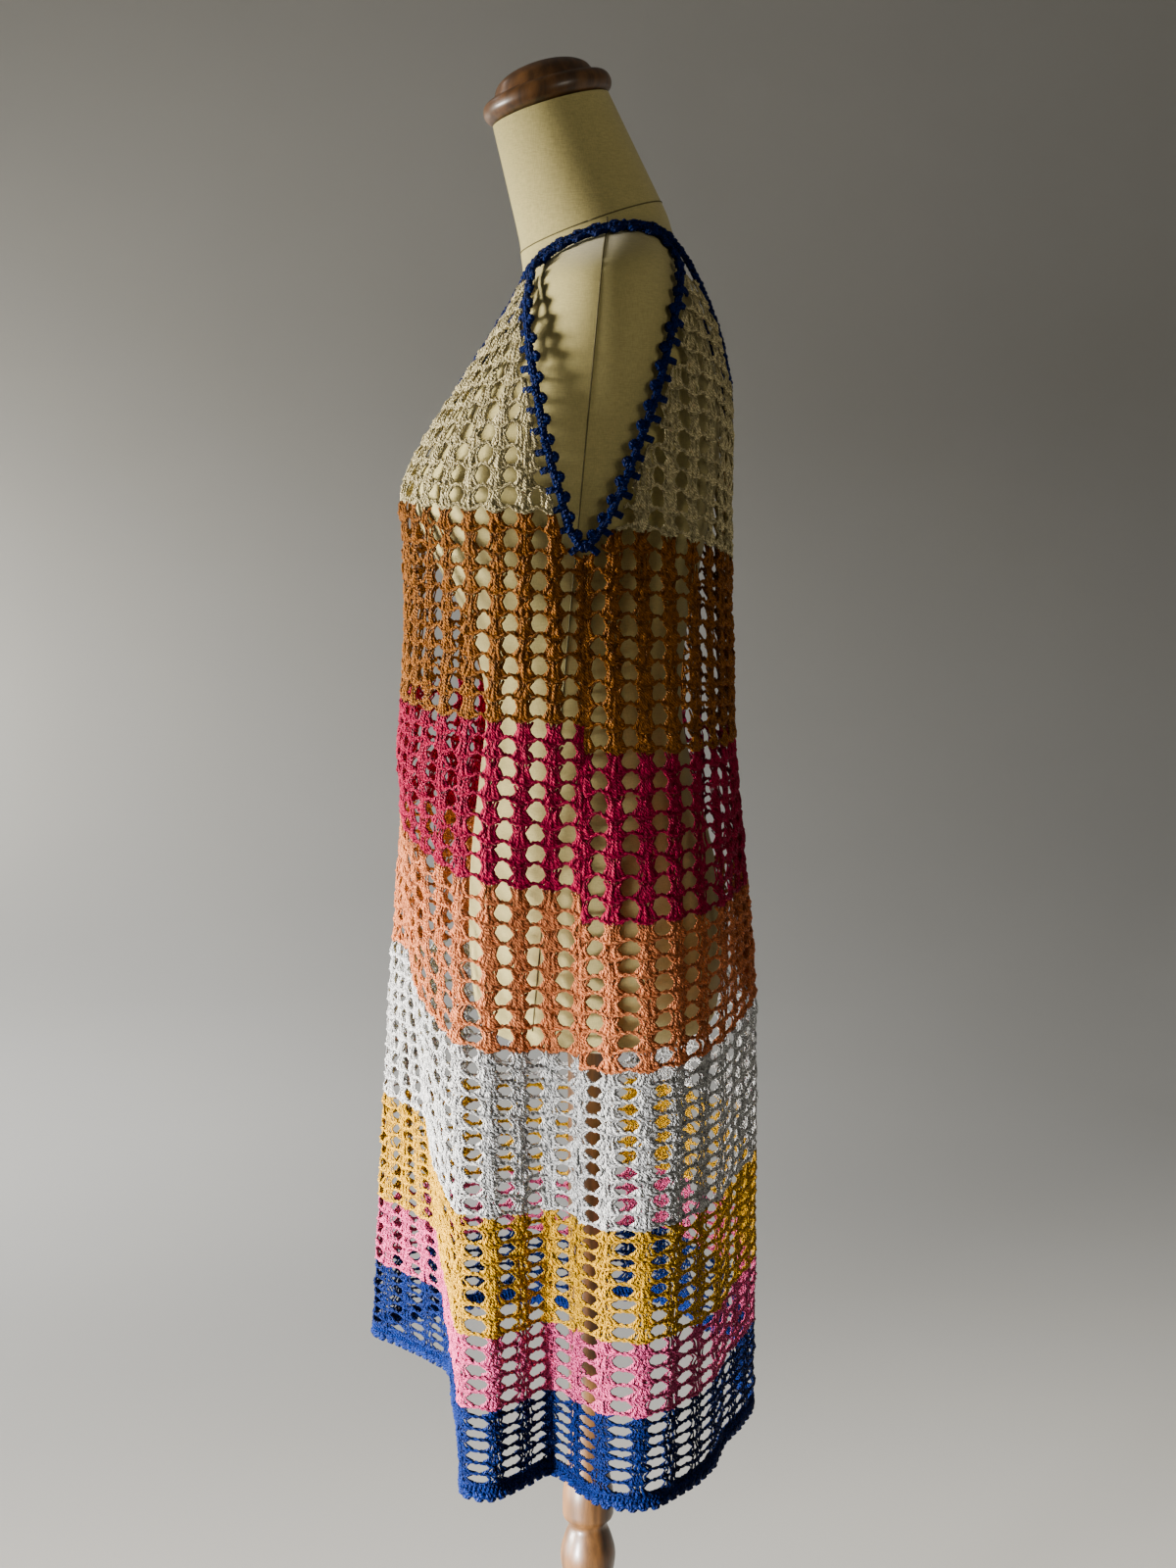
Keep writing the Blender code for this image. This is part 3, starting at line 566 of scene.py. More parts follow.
def shell_posts(yarn, panel, outline, name, lines, jitter):
    """The fans of posts: each grows from the middle of the shell above and spreads downwards."""
    stitch = STITCHES[name]
    halves = []
    for row in range(stitch.rows):
        for column in range(panel.count + 1):
            height = float(height_at(lines, float(column), row + SHELL_MIDDLE))
            low, high = limits(panel, outline, float(column), height)
            on_cloth = low - EDGE_REACH < column < high + EDGE_REACH
            if height > CLOTH_TOP or high - low < LEAST_WIDTH or not on_cloth:
                continue
            for side in (-1.0, 1.0):
                if 0 < column + side * 0.5 < panel.count:
                    halves.append((row, column, side))
    rows, columns, sides = (np.array(part) for part in zip(*halves))
    middle = columns.astype(float)
    dense = closeness(panel, outline, name, middle, height_at(lines, middle, rows + SHELL_MIDDLE))[:, None]
    order = np.arange(POSTS_PER_SIDE) / (POSTS_PER_SIDE - 1)
    neck = POST_INNER + (stitch.neck + dense * DENSE_NECK - POST_INNER) * order
    foot = SLIT + (stitch.foot + dense * DENSE_FOOT - SLIT) * order
    top, knee = neck + (foot - neck) * POST_TOP_SPREAD, neck + (foot - neck) * POST_KNEE_SPREAD
    away = sides[:, None, None] * np.stack((top, neck, knee, foot), axis=-1)
    ends = 1.0 + stitch.drop * (1.0 - order) ** DROP_CURVE
    knees = POST_NECK + (ends - POST_NECK) * POST_KNEE
    start = np.full(POSTS_PER_SIDE, POST_START)
    down = np.stack((start, np.full(POSTS_PER_SIDE, POST_NECK), knees, ends), axis=-1)
    share = np.clip(down, 0.0, 1.0)[None, ..., None]
    shift = jitter[rows, columns][:, None, None] * (1 - share)
    shift = shift + jitter[rows + 1, columns][:, None, None] * share
    size = shift.shape[:3]
    places = columns[:, None, None] + away + shift[..., 0] + chance.normal(0.0, POST_JITTER_COLUMN, size)
    counted = rows[:, None, None] + down + shift[..., 1] + chance.normal(0.0, POST_JITTER_ROW, size)
    heights = height_at(lines, places, counted)
    places = kept_on(panel, outline, places, heights)
    lift = np.array(POST_LIFT) - OUTER_POST_SINK * order[:, None] + shift[..., 2]
    lift = lift + chance.normal(0.0, POST_JITTER_LIFT, size) + seam_sink(panel.start + places, heights)
    points, normals = on_dress(panel.start + places, heights, lift)
    thick = stitch.post / 2 * np.array(POST_TAPER) * (1 + chance.normal(0.0, POST_JITTER_YARN, size))
    rings = (-1, POST_RINGS, 3)
    yarn.add(points.reshape(rings), normals.reshape(rings), thick.reshape(rings[:2]), POST_SIDES, POST_FLAT)


def row_profile(stitch, across, foot):
    """How far a row's lower chain lies from its line, in rows, at places across the panel."""
    off = np.abs(across - np.round(across))
    hang = np.clip((off - foot) / (0.5 - foot), 0.0, 1.0)
    under = np.clip(1.0 - off / foot, 0.0, 1.0)
    return stitch.drop * under ** DROP_CURVE * CHAIN_DROP - stitch.arch * np.sin(hang * pi / 2)


def cord_spans(panel, outline, lines, row):
    """Stretches of cloth across the panel along one row's line."""
    across = np.linspace(0.0, panel.count, panel.count * SPAN_STEPS + 1)
    heights = height_at(lines, across, float(row))
    low, high = limits(panel, outline, across, heights)
    inside = (across >= low) & (across <= high) & (heights < CLOTH_TOP)
    turns = np.diff(np.concatenate(([0], inside.astype(int), [0])))
    starts = across[np.flatnonzero(turns > 0)]
    ends = across[np.minimum(np.flatnonzero(turns < 0), len(across) - 1)]
    return [(start, end) for start, end in zip(starts, ends) if end - start > LEAST_WIDTH]


def row_chains(yarn, panel, outline, name, lines, jitter):
    """The chains that close each row: along the shells' lower edges and across the holes between them."""
    stitch = STITCHES[name]
    columns = np.arange(panel.count + 1)
    for row in range(1, stitch.rows + 1):
        for low, high in cord_spans(panel, outline, lines, row):
            across = np.linspace(low, high, int(round((high - low) * CHAIN_POINTS)) + 1)
            aside, down, out = (np.interp(across, columns, jitter[row, :, k]) for k in range(3))
            dense = closeness(panel, outline, name, across, height_at(lines, across, float(row)))
            foot = np.minimum(stitch.foot + dense * DENSE_FOOT, WIDEST_FOOT)
            counted = row + row_profile(stitch, across, foot) + down
            heights = height_at(lines, across, counted)
            places = kept_on(panel, outline, across + aside, heights)
            lift = out + CHAIN_LIFT + seam_sink(panel.start + places, heights)
            points, normals = on_dress(panel.start + places, height_at(lines, places, counted), lift)
            turn = 2 * pi * CHAIN_TURNS * across + chance.random() * 2 * pi
            beside = unit(np.cross(normals, unit(np.gradient(points, axis=0))))
            off = np.abs(across - np.round(across))
            swell = 1.0 + CHAIN_SWELL * np.clip((foot + SWELL_EDGE - off) / (2 * SWELL_EDGE), 0.0, 1.0)
            for phase in (0.0, pi):
                offset = beside * np.cos(turn + phase)[:, None] + normals * np.sin(turn + phase)[:, None]
                path = points + offset * stitch.chain * CHAIN_TWIST * swell[:, None]
                yarn.add(path[None], normals[None], swell * stitch.chain / 2, CHAIN_SIDES)


# Side seams: rings to a row, how far the stitches stop below the armhole, and how deep they lie
SEAM_STEPS_PER_ROW = 3
SEAM_CLEAR = 0.002
SEAM_REST = 0.0004
LEAST_SEAM_POINTS = 4


def seam_stitches(yarn, panel, name, lines):
    """Upright edge stitches of a panel along both side seams."""
    rows = np.linspace(0.0, STITCHES[name].rows, STITCHES[name].rows * SEAM_STEPS_PER_ROW + 1)
    for place in (SEAM_OFFSET, panel.count - SEAM_OFFSET):
        heights = height_at(lines, place, rows)
        heights = heights[heights < ARMHOLE[0].z - SEAM_CLEAR]
        if len(heights) < LEAST_SEAM_POINTS:
            continue
        across = np.full(len(heights), panel.start + place)
        points, normals = on_dress(across, heights, seam_sink(across, heights))
        twisted(yarn, points - normals * SEAM_REST, normals, SEAM_CORD)


def add_band(panel, outline, name, material):
    lines = row_heights(name, panel)
    stitch = STITCHES[name]
    jitter = chance.normal(0.0, 1.0, (stitch.rows + 1, panel.count + 1, 3))
    jitter *= (JITTER_COLUMN, JITTER_ROW, JITTER_LIFT)
    jitter[(0, -1), :, 1] *= EDGE_ROW_JITTER
    yarn = Yarn()
    shell_posts(yarn, panel, outline, name, lines, jitter)
    row_chains(yarn, panel, outline, name, lines, jitter)
    seam_stitches(yarn, panel, name, lines)
    return yarn.make(f"crochet_{panel.side}_{name}", material)


# Corded edges

STRAP_POINTS = 13
STRAP_START = 1.405
ABOVE_FORM = 2.0
EDGING_REST = 0.0036
EDGING_STEP = 0.0020
EVEN_PASSES = 6
PICOT_PITCH = 0.0155
BEAD_RINGS = 4
BEAD_SIDES = 5
BEAD_LENGTH = 1.05
BEAD_END = 0.35

# Knots along the cord: their spacing, radius and lift, and how far they stray aside and turn by chance
KNOT_PITCH = 0.0040
KNOT_BEAD = 0.0023
KNOT_LIFT = 0.0012
KNOT_STRAY = 0.0022
KNOT_TURN = (-0.2, 0.9)

# Short stitches that hold the cloth, three side by side
SPOKE_START = 0.0010
SPOKE_END = 0.0098
SPOKE_RINGS = 4
SPOKE_SPREAD = 0.0013
SPOKE_LIFT = 0.0008
SPOKE_YARN = 0.0031

# Picots: how far out their two side beads and their middle one lie, how far apart the side beads are, the
# radius of a bead, and how far it strays by chance
Picot = namedtuple("Picot", "side_reach middle_reach spread bead stray")
EDGING_PICOT = Picot(0.0036, 0.00552, 0.0017, 0.0029, 0.0003)
HEM_PICOT = Picot(-0.0006, 0.0026, 0.0026, 0.0036, 0.0004)


def strap_path(tree, name):
    """One edging where it lies on the form's shoulder, front to back."""
    points, normals = [], []
    for y in np.linspace(STRAPS[0].y, STRAPS[-1].y, STRAP_POINTS):
        x = float(smooth_read(STRAPS, "y", name, y))
        hit, normal, _, _ = tree.ray_cast(Vector((x, y, ABOVE_FORM)), Vector((0.0, 0.0, -1.0)))
        points.append(hit + normal * EDGING_REST)
        normals.append(normal)
    return np.array(points), np.array(normals)


def even_loop(points, normals):
    """A closed path re-spaced evenly, its last point on its first, with its directions smoothed."""
    points, normals = np.vstack((points, points[:1])), np.vstack((normals, normals[:1]))
    length = run_length(points)
    at = np.linspace(0.0, length[-1], int(length[-1] / EDGING_STEP))
    even = [np.column_stack([np.interp(at, length, part) for part in run.T]) for run in (points, normals)]
    for run in even:
        ring = run[:-1]
        for _ in range(EVEN_PASSES):
            ring[:] = (np.roll(ring, 1, 0) + 2 * ring + np.roll(ring, -1, 0)) / 4
        run[-1] = run[0]
    return even[0], unit(even[1])


def joined(*parts):
    """Paths with their outward directions, one after the other."""
    return [np.vstack([part[k] for part in parts]) for k in (0, 1)]


def edging_loops():
    """Closed middle lines of the three corded edges, with the directions that face outwards."""
    tree = tree_of(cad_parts["form_torso"].data)
    front, back = PANELS
    front_columns, front_heights = armhole_line(front)
    back_columns, back_heights = armhole_line(back)
    arm = joined(
        on_dress(front_columns, front_heights),
        strap_path(tree, "x_armhole"),
        on_dress(GIRTH_COLUMNS - back_columns[:0:-1], back_heights[:0:-1]),
    )
    front_columns, front_heights = neck_line(front)
    back_columns, back_heights = neck_line(back)
    neck = joined(
        on_dress(front.start + front.count / 2 - front_columns, front_heights),
        strap_path(tree, "x_neck"),
        on_dress(back.start + back.count / 2 + back_columns[::-1], back_heights[::-1]),
    )
    flip = np.array((-1.0, 1.0, 1.0))
    return {
        "armhole_edging_left": even_loop(*arm),
        "armhole_edging_right": even_loop(*(part * flip for part in arm)),
        "neck_edging": even_loop(*(np.vstack((part, (part * flip)[-2:0:-1])) for part in neck)),
    }


def add_beads(yarn, centres, directions, normals, radius):
    """Small round knots of yarn, each a short tube that swells in its middle."""
    turn = np.linspace(0.0, pi, BEAD_RINGS)
    along = -np.cos(turn) * radius * BEAD_LENGTH
    paths = centres[:, None] + directions[:, None] * along[:, None]
    rings = np.maximum(np.sin(turn), BEAD_END) * radius
    yarn.add(paths, np.repeat(normals[:, None], BEAD_RINGS, 1), rings, BEAD_SIDES)


def add_picots(yarn, picot, centres, out, run, normals):
    """Knots of three beads: two at the sides, and one between them that reaches further out."""
    for turn, reach in ((-1.0, picot.side_reach), (1.0, picot.side_reach), (0.0, picot.middle_reach)):
        places = centres + out * reach + run * turn * picot.spread
        places = places + normals * chance.normal(0.0, picot.stray, (len(centres), 1))
        add_beads(yarn, places, unit(run + out * turn), normals, picot.bead)


def add_edging(name, loop, material):
    """Cord with picots on its open side and short stitches that hold the crochet on its other side."""
    points, normals = loop
    yarn = Yarn()
    twisted(yarn, points, normals, EDGING_CORD)
    tangents = unit(np.gradient(points, axis=0))
    beside = unit(np.cross(tangents, normals))
    beside *= np.sign(np.sum(beside * (points - points.mean(0))))

    def at(places):
        return points[places], beside[places], normals[places], tangents[places]

    count = int(round(len(points) * EDGING_STEP / PICOT_PITCH))
    base, out, face, run = at((np.arange(count) * len(points) / count).astype(int))
    add_picots(yarn, EDGING_PICOT, base, -out, run, face)

    base, out, face, run = at(np.arange(0.0, len(points) - 1.0, KNOT_PITCH / EDGING_STEP).astype(int))
    each = (len(base), 1)
    side = chance.uniform(-KNOT_STRAY, KNOT_STRAY, each)
    centres = base + out * side + face * (KNOT_LIFT + chance.normal(0.0, EDGING_PICOT.stray, each))
    add_beads(yarn, centres, unit(out + run * chance.uniform(*KNOT_TURN, each)), face, KNOT_BEAD)

    between = ((np.arange(count) + 0.5) * len(points) / count).astype(int) % len(points)
    base, out, face, run = at(between[points[between][:, 2] < STRAP_START])
    reach = np.linspace(SPOKE_START, SPOKE_END, SPOKE_RINGS)[:, None]
    for turn in (-1.0, 0.0, 1.0):
        path = base[:, None] + out[:, None] * reach + run[:, None] * turn * SPOKE_SPREAD
        path[:, 1:-1] += face[:, None] * SPOKE_LIFT
        yarn.add(path, np.repeat(face[:, None], SPOKE_RINGS, 1), SPOKE_YARN / 2, BEAD_SIDES)
    return hand_over(yarn.make(f"crochet_{name}", material), name)


# Picot hem: short stitches with three rings each, a cord at their tops and one at their ends, and picots

HEM_STITCHES = 9
HEM_YARN = 0.0040
HEM_DROPS = (0.0, 0.0035, 0.0072)
HEM_LEAN = (-0.03, 0.0, 0.03)
HEM_LIFT = (0.0, 0.0007, 0.0)
HEM_STRAY_DOWN = 0.0003
HEM_STRAY_ASIDE = 0.006
HEM_CORD_DROPS = (0.0004, HEM_EDGING - 0.0016)
HEM_CORD_POINTS = 16
HEM_PICOTS = 3
HEM_PICOT_DROP = 0.0100
HEM_NEXT = 0.05


def add_hem(panel, material):
    """Close short stitches below the last shells, with cords along them and picots that hang from them."""
    yarn = Yarn()
    name = f"hem_edging_{panel.side}"
    count = panel.count * HEM_STITCHES
    across = np.linspace(SEAM_OFFSET, panel.count - SEAM_OFFSET, count)
    heights = band_edge("blue", panel, across)[:, None] - HEM_DROPS
    heights = heights + chance.normal(0.0, HEM_STRAY_DOWN, (count, 3))
    places = across[:, None] + HEM_LEAN + chance.normal(0.0, HEM_STRAY_ASIDE, (count, 3))
    yarn.add(*on_dress(panel.start + places, heights, np.array(HEM_LIFT)), HEM_YARN / 2, POST_SIDES)
    fine = np.linspace(SEAM_OFFSET, panel.count - SEAM_OFFSET, panel.count * HEM_CORD_POINTS)
    for drop in HEM_CORD_DROPS:
        points, normals = on_dress(panel.start + fine, band_edge("blue", panel, fine) - drop)
        twisted(yarn, points, normals, HEM_CORD)
    picots = (np.arange(panel.count * HEM_PICOTS) + 0.5) / HEM_PICOTS
    low = band_edge("blue", panel, picots) - HEM_PICOT_DROP
    points, normals = on_dress(panel.start + picots, low)
    beyond, _ = on_dress(panel.start + picots + HEM_NEXT, low)
    add_picots(yarn, HEM_PICOT, points, np.array((0.0, 0.0, -1.0)), unit(beyond - points), normals)
    return hand_over(yarn.make(f"crochet_{name}", material), name)


# The form's cover

Ring = namedtuple("Ring", "order z_front y_front z_back y_back half_width squareness")
TORSO = tuple(Ring(order, *sizes) for order, sizes in enumerate((
    (0.790, -0.0780, 0.790, 0.0900, 0.1380, 2.3),
    (0.793, -0.0930, 0.793, 0.1060, 0.1530, 2.3),
    (0.805, -0.1000, 0.805, 0.1140, 0.1610, 2.3),
    (0.860, -0.1040, 0.860, 0.1180, 0.1640, 2.3),
    (0.930, -0.1020, 0.930, 0.1100, 0.1550, 2.3),
    (1.000, -0.0940, 1.000, 0.0920, 0.1350, 2.3),
    (1.065, -0.0880, 1.065, 0.0800, 0.1220, 2.3),
    (1.130, -0.1020, 1.130, 0.0850, 0.1290, 2.3),
    (1.195, -0.1340, 1.195, 0.0980, 0.1410, 2.4),
    (1.245, -0.1480, 1.245, 0.1080, 0.1490, 2.5),
    (1.285, -0.1270, 1.287, 0.1110, 0.1560, 2.4),
    (1.328, -0.0980, 1.335, 0.1080, 0.1630, 2.3),
    (1.365, -0.0740, 1.379, 0.0980, 0.1680, 2.2),
    (1.392, -0.0600, 1.412, 0.0860, 0.1660, 2.2),
    (1.406, -0.0560, 1.431, 0.0790, 0.1580, 2.2),
    (1.416, -0.0545, 1.444, 0.0745, 0.1380, 2.2),
    (1.424, -0.0545, 1.455, 0.0715, 0.1120, 2.1),
    (1.431, -0.0550, 1.464, 0.0690, 0.0860, 2.0),
    (1.438, -0.0560, 1.472, 0.0665, 0.0690, 2.0),
    (1.452, -0.0575, 1.486, 0.0600, 0.0620, 2.0),
    (1.485, -0.0650, 1.517, 0.0445, 0.0560, 2.0),
    (1.544, -0.0790, 1.572, 0.0170, 0.0500, 2.0),
)))
TORSO_POINTS = 96
TORSO_STEPS = 3
TORSO_SHARP = radians(50.0)


def add_torso(material):
    """Smooth cover of the form, through the same rings as its solid."""
    order = np.linspace(0, len(TORSO) - 1, (len(TORSO) - 1) * TORSO_STEPS + 1)
    ring = {name: smooth_read(TORSO, "order", name, order)[:, None] for name in Ring._fields}
    angle = 2 * pi * np.arange(TORSO_POINTS) / TORSO_POINTS
    power = 2.0 / ring["squareness"]
    x = ring["half_width"] * np.sign(np.cos(angle)) * np.abs(np.cos(angle)) ** power
    forward = np.sign(np.sin(angle)) * np.abs(np.sin(angle)) ** power
    y = (ring["y_front"] + ring["y_back"]) / 2 + (ring["y_front"] - ring["y_back"]) / 2 * forward
    z = (ring["z_front"] + ring["z_back"]) / 2 + (ring["z_front"] - ring["z_back"]) / 2 * forward
    cover = ring_skin("form_cover", np.stack((x, y, z), axis=-1), material)
    cover.data.set_sharp_from_angle(angle=TORSO_SHARP)
    return hand_over(cover, "form_torso")


# Turned wood

FORM_BOTTOM = 0.790
BASE_HEIGHT = 0.032
WOOD_GAP = 0.0003
POLE_TOP = FORM_BOTTOM - WOOD_GAP
POLE_FOOT = BASE_HEIGHT + WOOD_GAP

# Outlines from top to bottom, as pairs of radius and height
CAP_OUTLINE = (
    (0.0, 0.0385), (0.015, 0.0375), (0.029, 0.034), (0.039, 0.0275), (0.0425, 0.0215), (0.044, 0.0195),
    (0.05, 0.018), (0.054, 0.014), (0.055, 0.009), (0.0535, 0.004), (0.05, 0.001), (0.046, 0.0), (0.0, 0.0),
)
POLE_OUTLINE = (
    (0.0, POLE_TOP), (0.029, POLE_TOP), (0.029, 0.776), (0.021, 0.768), (0.018, 0.74), (0.0175, 0.42),
    (0.019, 0.36), (0.0235, 0.33), (0.0235, 0.312), (0.0175, 0.302), (0.0215, 0.29), (0.0255, 0.272),
    (0.0225, 0.25), (0.017, 0.225), (0.016, 0.14), (0.02, 0.085), (0.033, 0.055), (0.038, 0.044),
    (0.038, POLE_FOOT), (0.0, POLE_FOOT),
)
BASE_OUTLINE = (
    (0.0, BASE_HEIGHT), (0.12, BASE_HEIGHT), (0.165, 0.0285), (0.183, 0.0235), (0.19, 0.015), (0.19, 0.004),
    (0.186, 0.0), (0.0, 0.0),
)
TURNED_SIDES = 72
TURNED_STEPS = 4
TURNED_SHARP = radians(35.0)


def rounded(column):
    """A column of an outline with points added on a curve that never swings past its own points."""
    steps = np.diff(column)
    both = steps[:-1] * steps[1:]
    inner = np.where(both > 0.0, 2 * both / np.where(both > 0.0, steps[:-1] + steps[1:], 1.0), 0.0)
    slopes = np.concatenate((steps[:1], inner, steps[-1:]))
    at = np.linspace(0, len(steps), len(steps) * TURNED_STEPS + 1)
    i = np.minimum(at.astype(int), len(steps) - 1)
    return curve(column, slopes, 1.0, i, at - i)


def add_turned(node, outline, material, place=(0.0, 0.0, 0.0), tilt=0.0):
    """A finer turned piece in place of one of the solids, leaning back by tilt."""
    radius, z = (rounded(column)[1:-1, None] for column in np.transpose(outline))
    turns = 2 * pi * np.arange(TURNED_SIDES) / TURNED_SIDES
    x, y = radius * np.cos(turns), radius * np.sin(turns)
    y, z = y * np.cos(tilt) - z * np.sin(tilt), y * np.sin(tilt) + z * np.cos(tilt)
    piece = ring_skin(f"turned_{node}", np.stack((x, y, z), axis=-1) + place, material)
    piece.data.set_sharp_from_angle(angle=TURNED_SHARP)
    hand_over(piece, node)


def add_wood(material):
    top = TORSO[-1]
    tilt = float(np.arctan2(top.z_back - top.z_front, top.y_back - top.y_front))
    middle = np.array((0.0, (top.y_front + top.y_back) / 2, (top.z_front + top.z_back) / 2))
    place = middle + WOOD_GAP * np.array((0.0, -np.sin(tilt), np.cos(tilt)))
    add_turned("neck_cap", CAP_OUTLINE, material, place, tilt)
    add_turned("pole", POLE_OUTLINE, material)
    add_turned("base_disc", BASE_OUTLINE, material)


# Sewn lines of the cover: the foot of the neck, the sides up to the shoulder, and over it to the neck
SEAM_THREAD = 0.0007
SEAM_THREAD_SIDES = 5
SEAM_STEPS = 90
NECK_SEAM_HEIGHT = 1.4615
NECK_SEAM_SLOPE = 0.35
SIDE_SEAM_START = -0.1198
SIDE_SEAM_SLOPE = 0.092
SIDE_SEAM_LOW = 0.81
SIDE_SEAM_HIGH = 1.425
BESIDE_FORM = 0.4
SHOULDER_END = 0.150
SHOULDER_START = 0.0635
SHOULDER_SLOPE = 0.52
ABOVE_SHOULDER = 1.7


def add_form_seams(cover, material):
    tree = tree_of(cover.data)
    yarn = Yarn()

    def lay(starts, directions):
        hits = [tree.ray_cast(Vector(start), Vector(way)) for start, way in zip(starts, directions)]
        points, normals = (np.array([hit[k] for hit in hits]) for k in (0, 1))
        yarn.add(points[None], normals[None], SEAM_THREAD, SEAM_THREAD_SIDES)

    turns = np.linspace(0.0, 2 * pi, SEAM_STEPS)
    ways = np.column_stack((np.cos(turns), np.sin(turns), NECK_SEAM_SLOPE * np.sin(turns)))
    lay([(0.0, 0.0, NECK_SEAM_HEIGHT)] * SEAM_STEPS, ways)
    heights = np.linspace(SIDE_SEAM_LOW, SIDE_SEAM_HIGH, SEAM_STEPS)
    across = np.linspace(SHOULDER_END, SHOULDER_START, SEAM_STEPS // 3)
    shoulder = SIDE_SEAM_HIGH + (SHOULDER_END - across) * SHOULDER_SLOPE
    for side in (-1.0, 1.0):
        starts = [(side * BESIDE_FORM, SIDE_SEAM_START + SIDE_SEAM_SLOPE * z, z) for z in heights]
        lay(starts, [(-side, 0.0, 0.0)] * SEAM_STEPS)
        depths = SIDE_SEAM_START + SIDE_SEAM_SLOPE * shoulder
        starts = [(side * x, y, ABOVE_SHOULDER) for x, y in zip(across, depths)]
        lay(starts, [(0.0, 0.0, -1.0)] * len(across))
    piece = yarn.make("form_seams", material)
    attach(piece, "root")


# Materials

class Look:
    """A material being made, with one colour that it darkens and lightens."""

    def __init__(self, name, colour, roughness):
        self.material = bpy.data.materials.new(name)
        self.material.use_nodes = True
        self.tree = self.material.node_tree
        self.shader = self.tree.nodes["Principled BSDF"]
        self.colour = colour
        self.set({"Base Color": self.shade(1.0), "Roughness": roughness})

    def set(self, inputs, node=None):
        """Inputs of the main shader, or of another node: each a value or another node's output."""
        node = node or self.shader
        for key, value in inputs.items():
            if isinstance(value, bpy.types.NodeSocket):
                self.tree.links.new(value, node.inputs[key])
            else:
                node.inputs[key].default_value = value

    def node(self, kind, inputs, **settings):
        node = self.tree.nodes.new(kind)
        for key, value in settings.items():
            setattr(node, key, value)
        self.set(inputs, node)
        return node

    def math(self, operation, first, second=0.0):
        return self.node("ShaderNodeMath", {0: first, 1: second}, operation=operation).outputs[0]

    def place(self):
        return self.node("ShaderNodeTexCoord", {}).outputs["Object"]

    def stretched(self, scale):
        return self.node("ShaderNodeMapping", {"Vector": self.place(), "Scale": scale}).outputs[0]

    def noise(self, vector, scale, detail=2.0):
        inputs = {"Vector": vector, "Scale": scale, "Detail": detail}
        return self.node("ShaderNodeTexNoise", inputs).outputs["Fac"]

    def bump(self, height, strength, distance):
        inputs = {"Strength": strength, "Distance": distance, "Height": height}
        self.set({"Normal": self.node("ShaderNodeBump", inputs).outputs[0]})

    def shade(self, factor):
        return (*(channel * factor for channel in self.colour), 1.0)

    def mix(self, share, first, second):
        return self.node("ShaderNodeMix", {0: share, 6: first, 7: second}, data_type="RGBA").outputs[2]

    def tint(self, base, value, low, high, factor, most=1.0):
        """The base, turned into a shade of the colour as the value goes from low to high."""
        inputs = {"Value": value, "From Min": low, "From Max": high, "To Min": 0.0, "To Max": most}
        share = self.node("ShaderNodeMapRange", inputs).outputs["Result"]
        return self.mix(share, base, self.shade(factor))


PLIES = 3.0
PLY_ROUND = 0.6
PLY_HEIGHT = 0.55
FIBRE_HEIGHT = 0.30
STITCH_HEIGHT = 1.1
YARN_ROUGHNESS = 0.55
YARN_SPECULAR = 0.09


def yarn_material(name):
    """Plied cotton: strands that twist round the yarn, with painted shade in the grooves between them and a
    painted highlight on their crests, painted shade in blotches for the gaps between stitches, fibres and
    uneven dye.
    """
    look = Look(f"{name}_cotton_yarn", COLOURS[name], YARN_ROUGHNESS)
    wrap = look.node("ShaderNodeUVMap", {}, uv_map="Yarn").outputs[0]
    along, around = look.node("ShaderNodeSeparateXYZ", {0: wrap}).outputs[:2]
    twist = look.math("ADD", along, look.math("MULTIPLY", around, PLIES))
    ridge = look.math("MULTIPLY", look.math("PINGPONG", twist, 0.5), 2.0)
    ridge = look.math("POWER", ridge, PLY_ROUND)
    place = look.place()
    fibre = look.noise(place, scale=1400.0)
    # Noise at the size of a stitch: it raises knobs through the bump, and further down it paints shade in
    # blotches
    stitch = look.noise(place, scale=240.0)
    dye = look.noise(place, scale=14.0)
    height = look.math("MULTIPLY", ridge, PLY_HEIGHT)
    height = look.math("ADD", height, look.math("MULTIPLY", fibre, FIBRE_HEIGHT))
    height = look.math("ADD", height, look.math("MULTIPLY", stitch, STITCH_HEIGHT))
    look.bump(height, strength=1.0, distance=0.0022)
    # Painted shade and highlight: the grooves between the plies are darkened to about a quarter of the
    # colour, and the crests are lightened a little
    base = look.mix(ridge, look.shade(0.26), look.shade(1.10))
    # Painted shade: where the stitch noise is low, the colour is darkened in blotches that stand in for the
    # dark gaps between stitches
    base = look.tint(base, stitch, 0.60, 0.38, factor=0.24, most=0.80)
    base = look.tint(base, dye, 0.3, 0.7, factor=0.75, most=0.18)
    look.set({"Base Color": base, "Specular IOR Level": YARN_SPECULAR})
    return look.material


def linen_material():
    """Plain-woven cover of the form."""
    look = Look("form_linen", COLOURS["linen"], roughness=0.85)
    weft_place = look.stretched((0.12, 0.12, 1.0))
    warp = look.noise(look.stretched((1.0, 1.0, 0.12)), scale=1500.0, detail=3.0)
    weft = look.noise(weft_place, scale=1500.0, detail=3.0)
    weave = look.math("MULTIPLY", look.math("ADD", warp, weft), 0.5)
    slub = look.noise(weft_place, scale=260.0, detail=3.0)
    cloud = look.noise(look.place(), scale=9.0, detail=3.0)
    look.bump(weave, strength=0.5, distance=0.0006)
    base = look.tint(look.shade(0.80), weave, 0.38, 0.62, factor=1.12)
    base = look.tint(base, slub, 0.55, 0.75, factor=0.75, most=0.25)
    base = look.tint(base, cloud, 0.35, 0.75, factor=0.82, most=0.30)
    look.set({"Base Color": base, "Sheen Weight": 0.2})
    return look.material


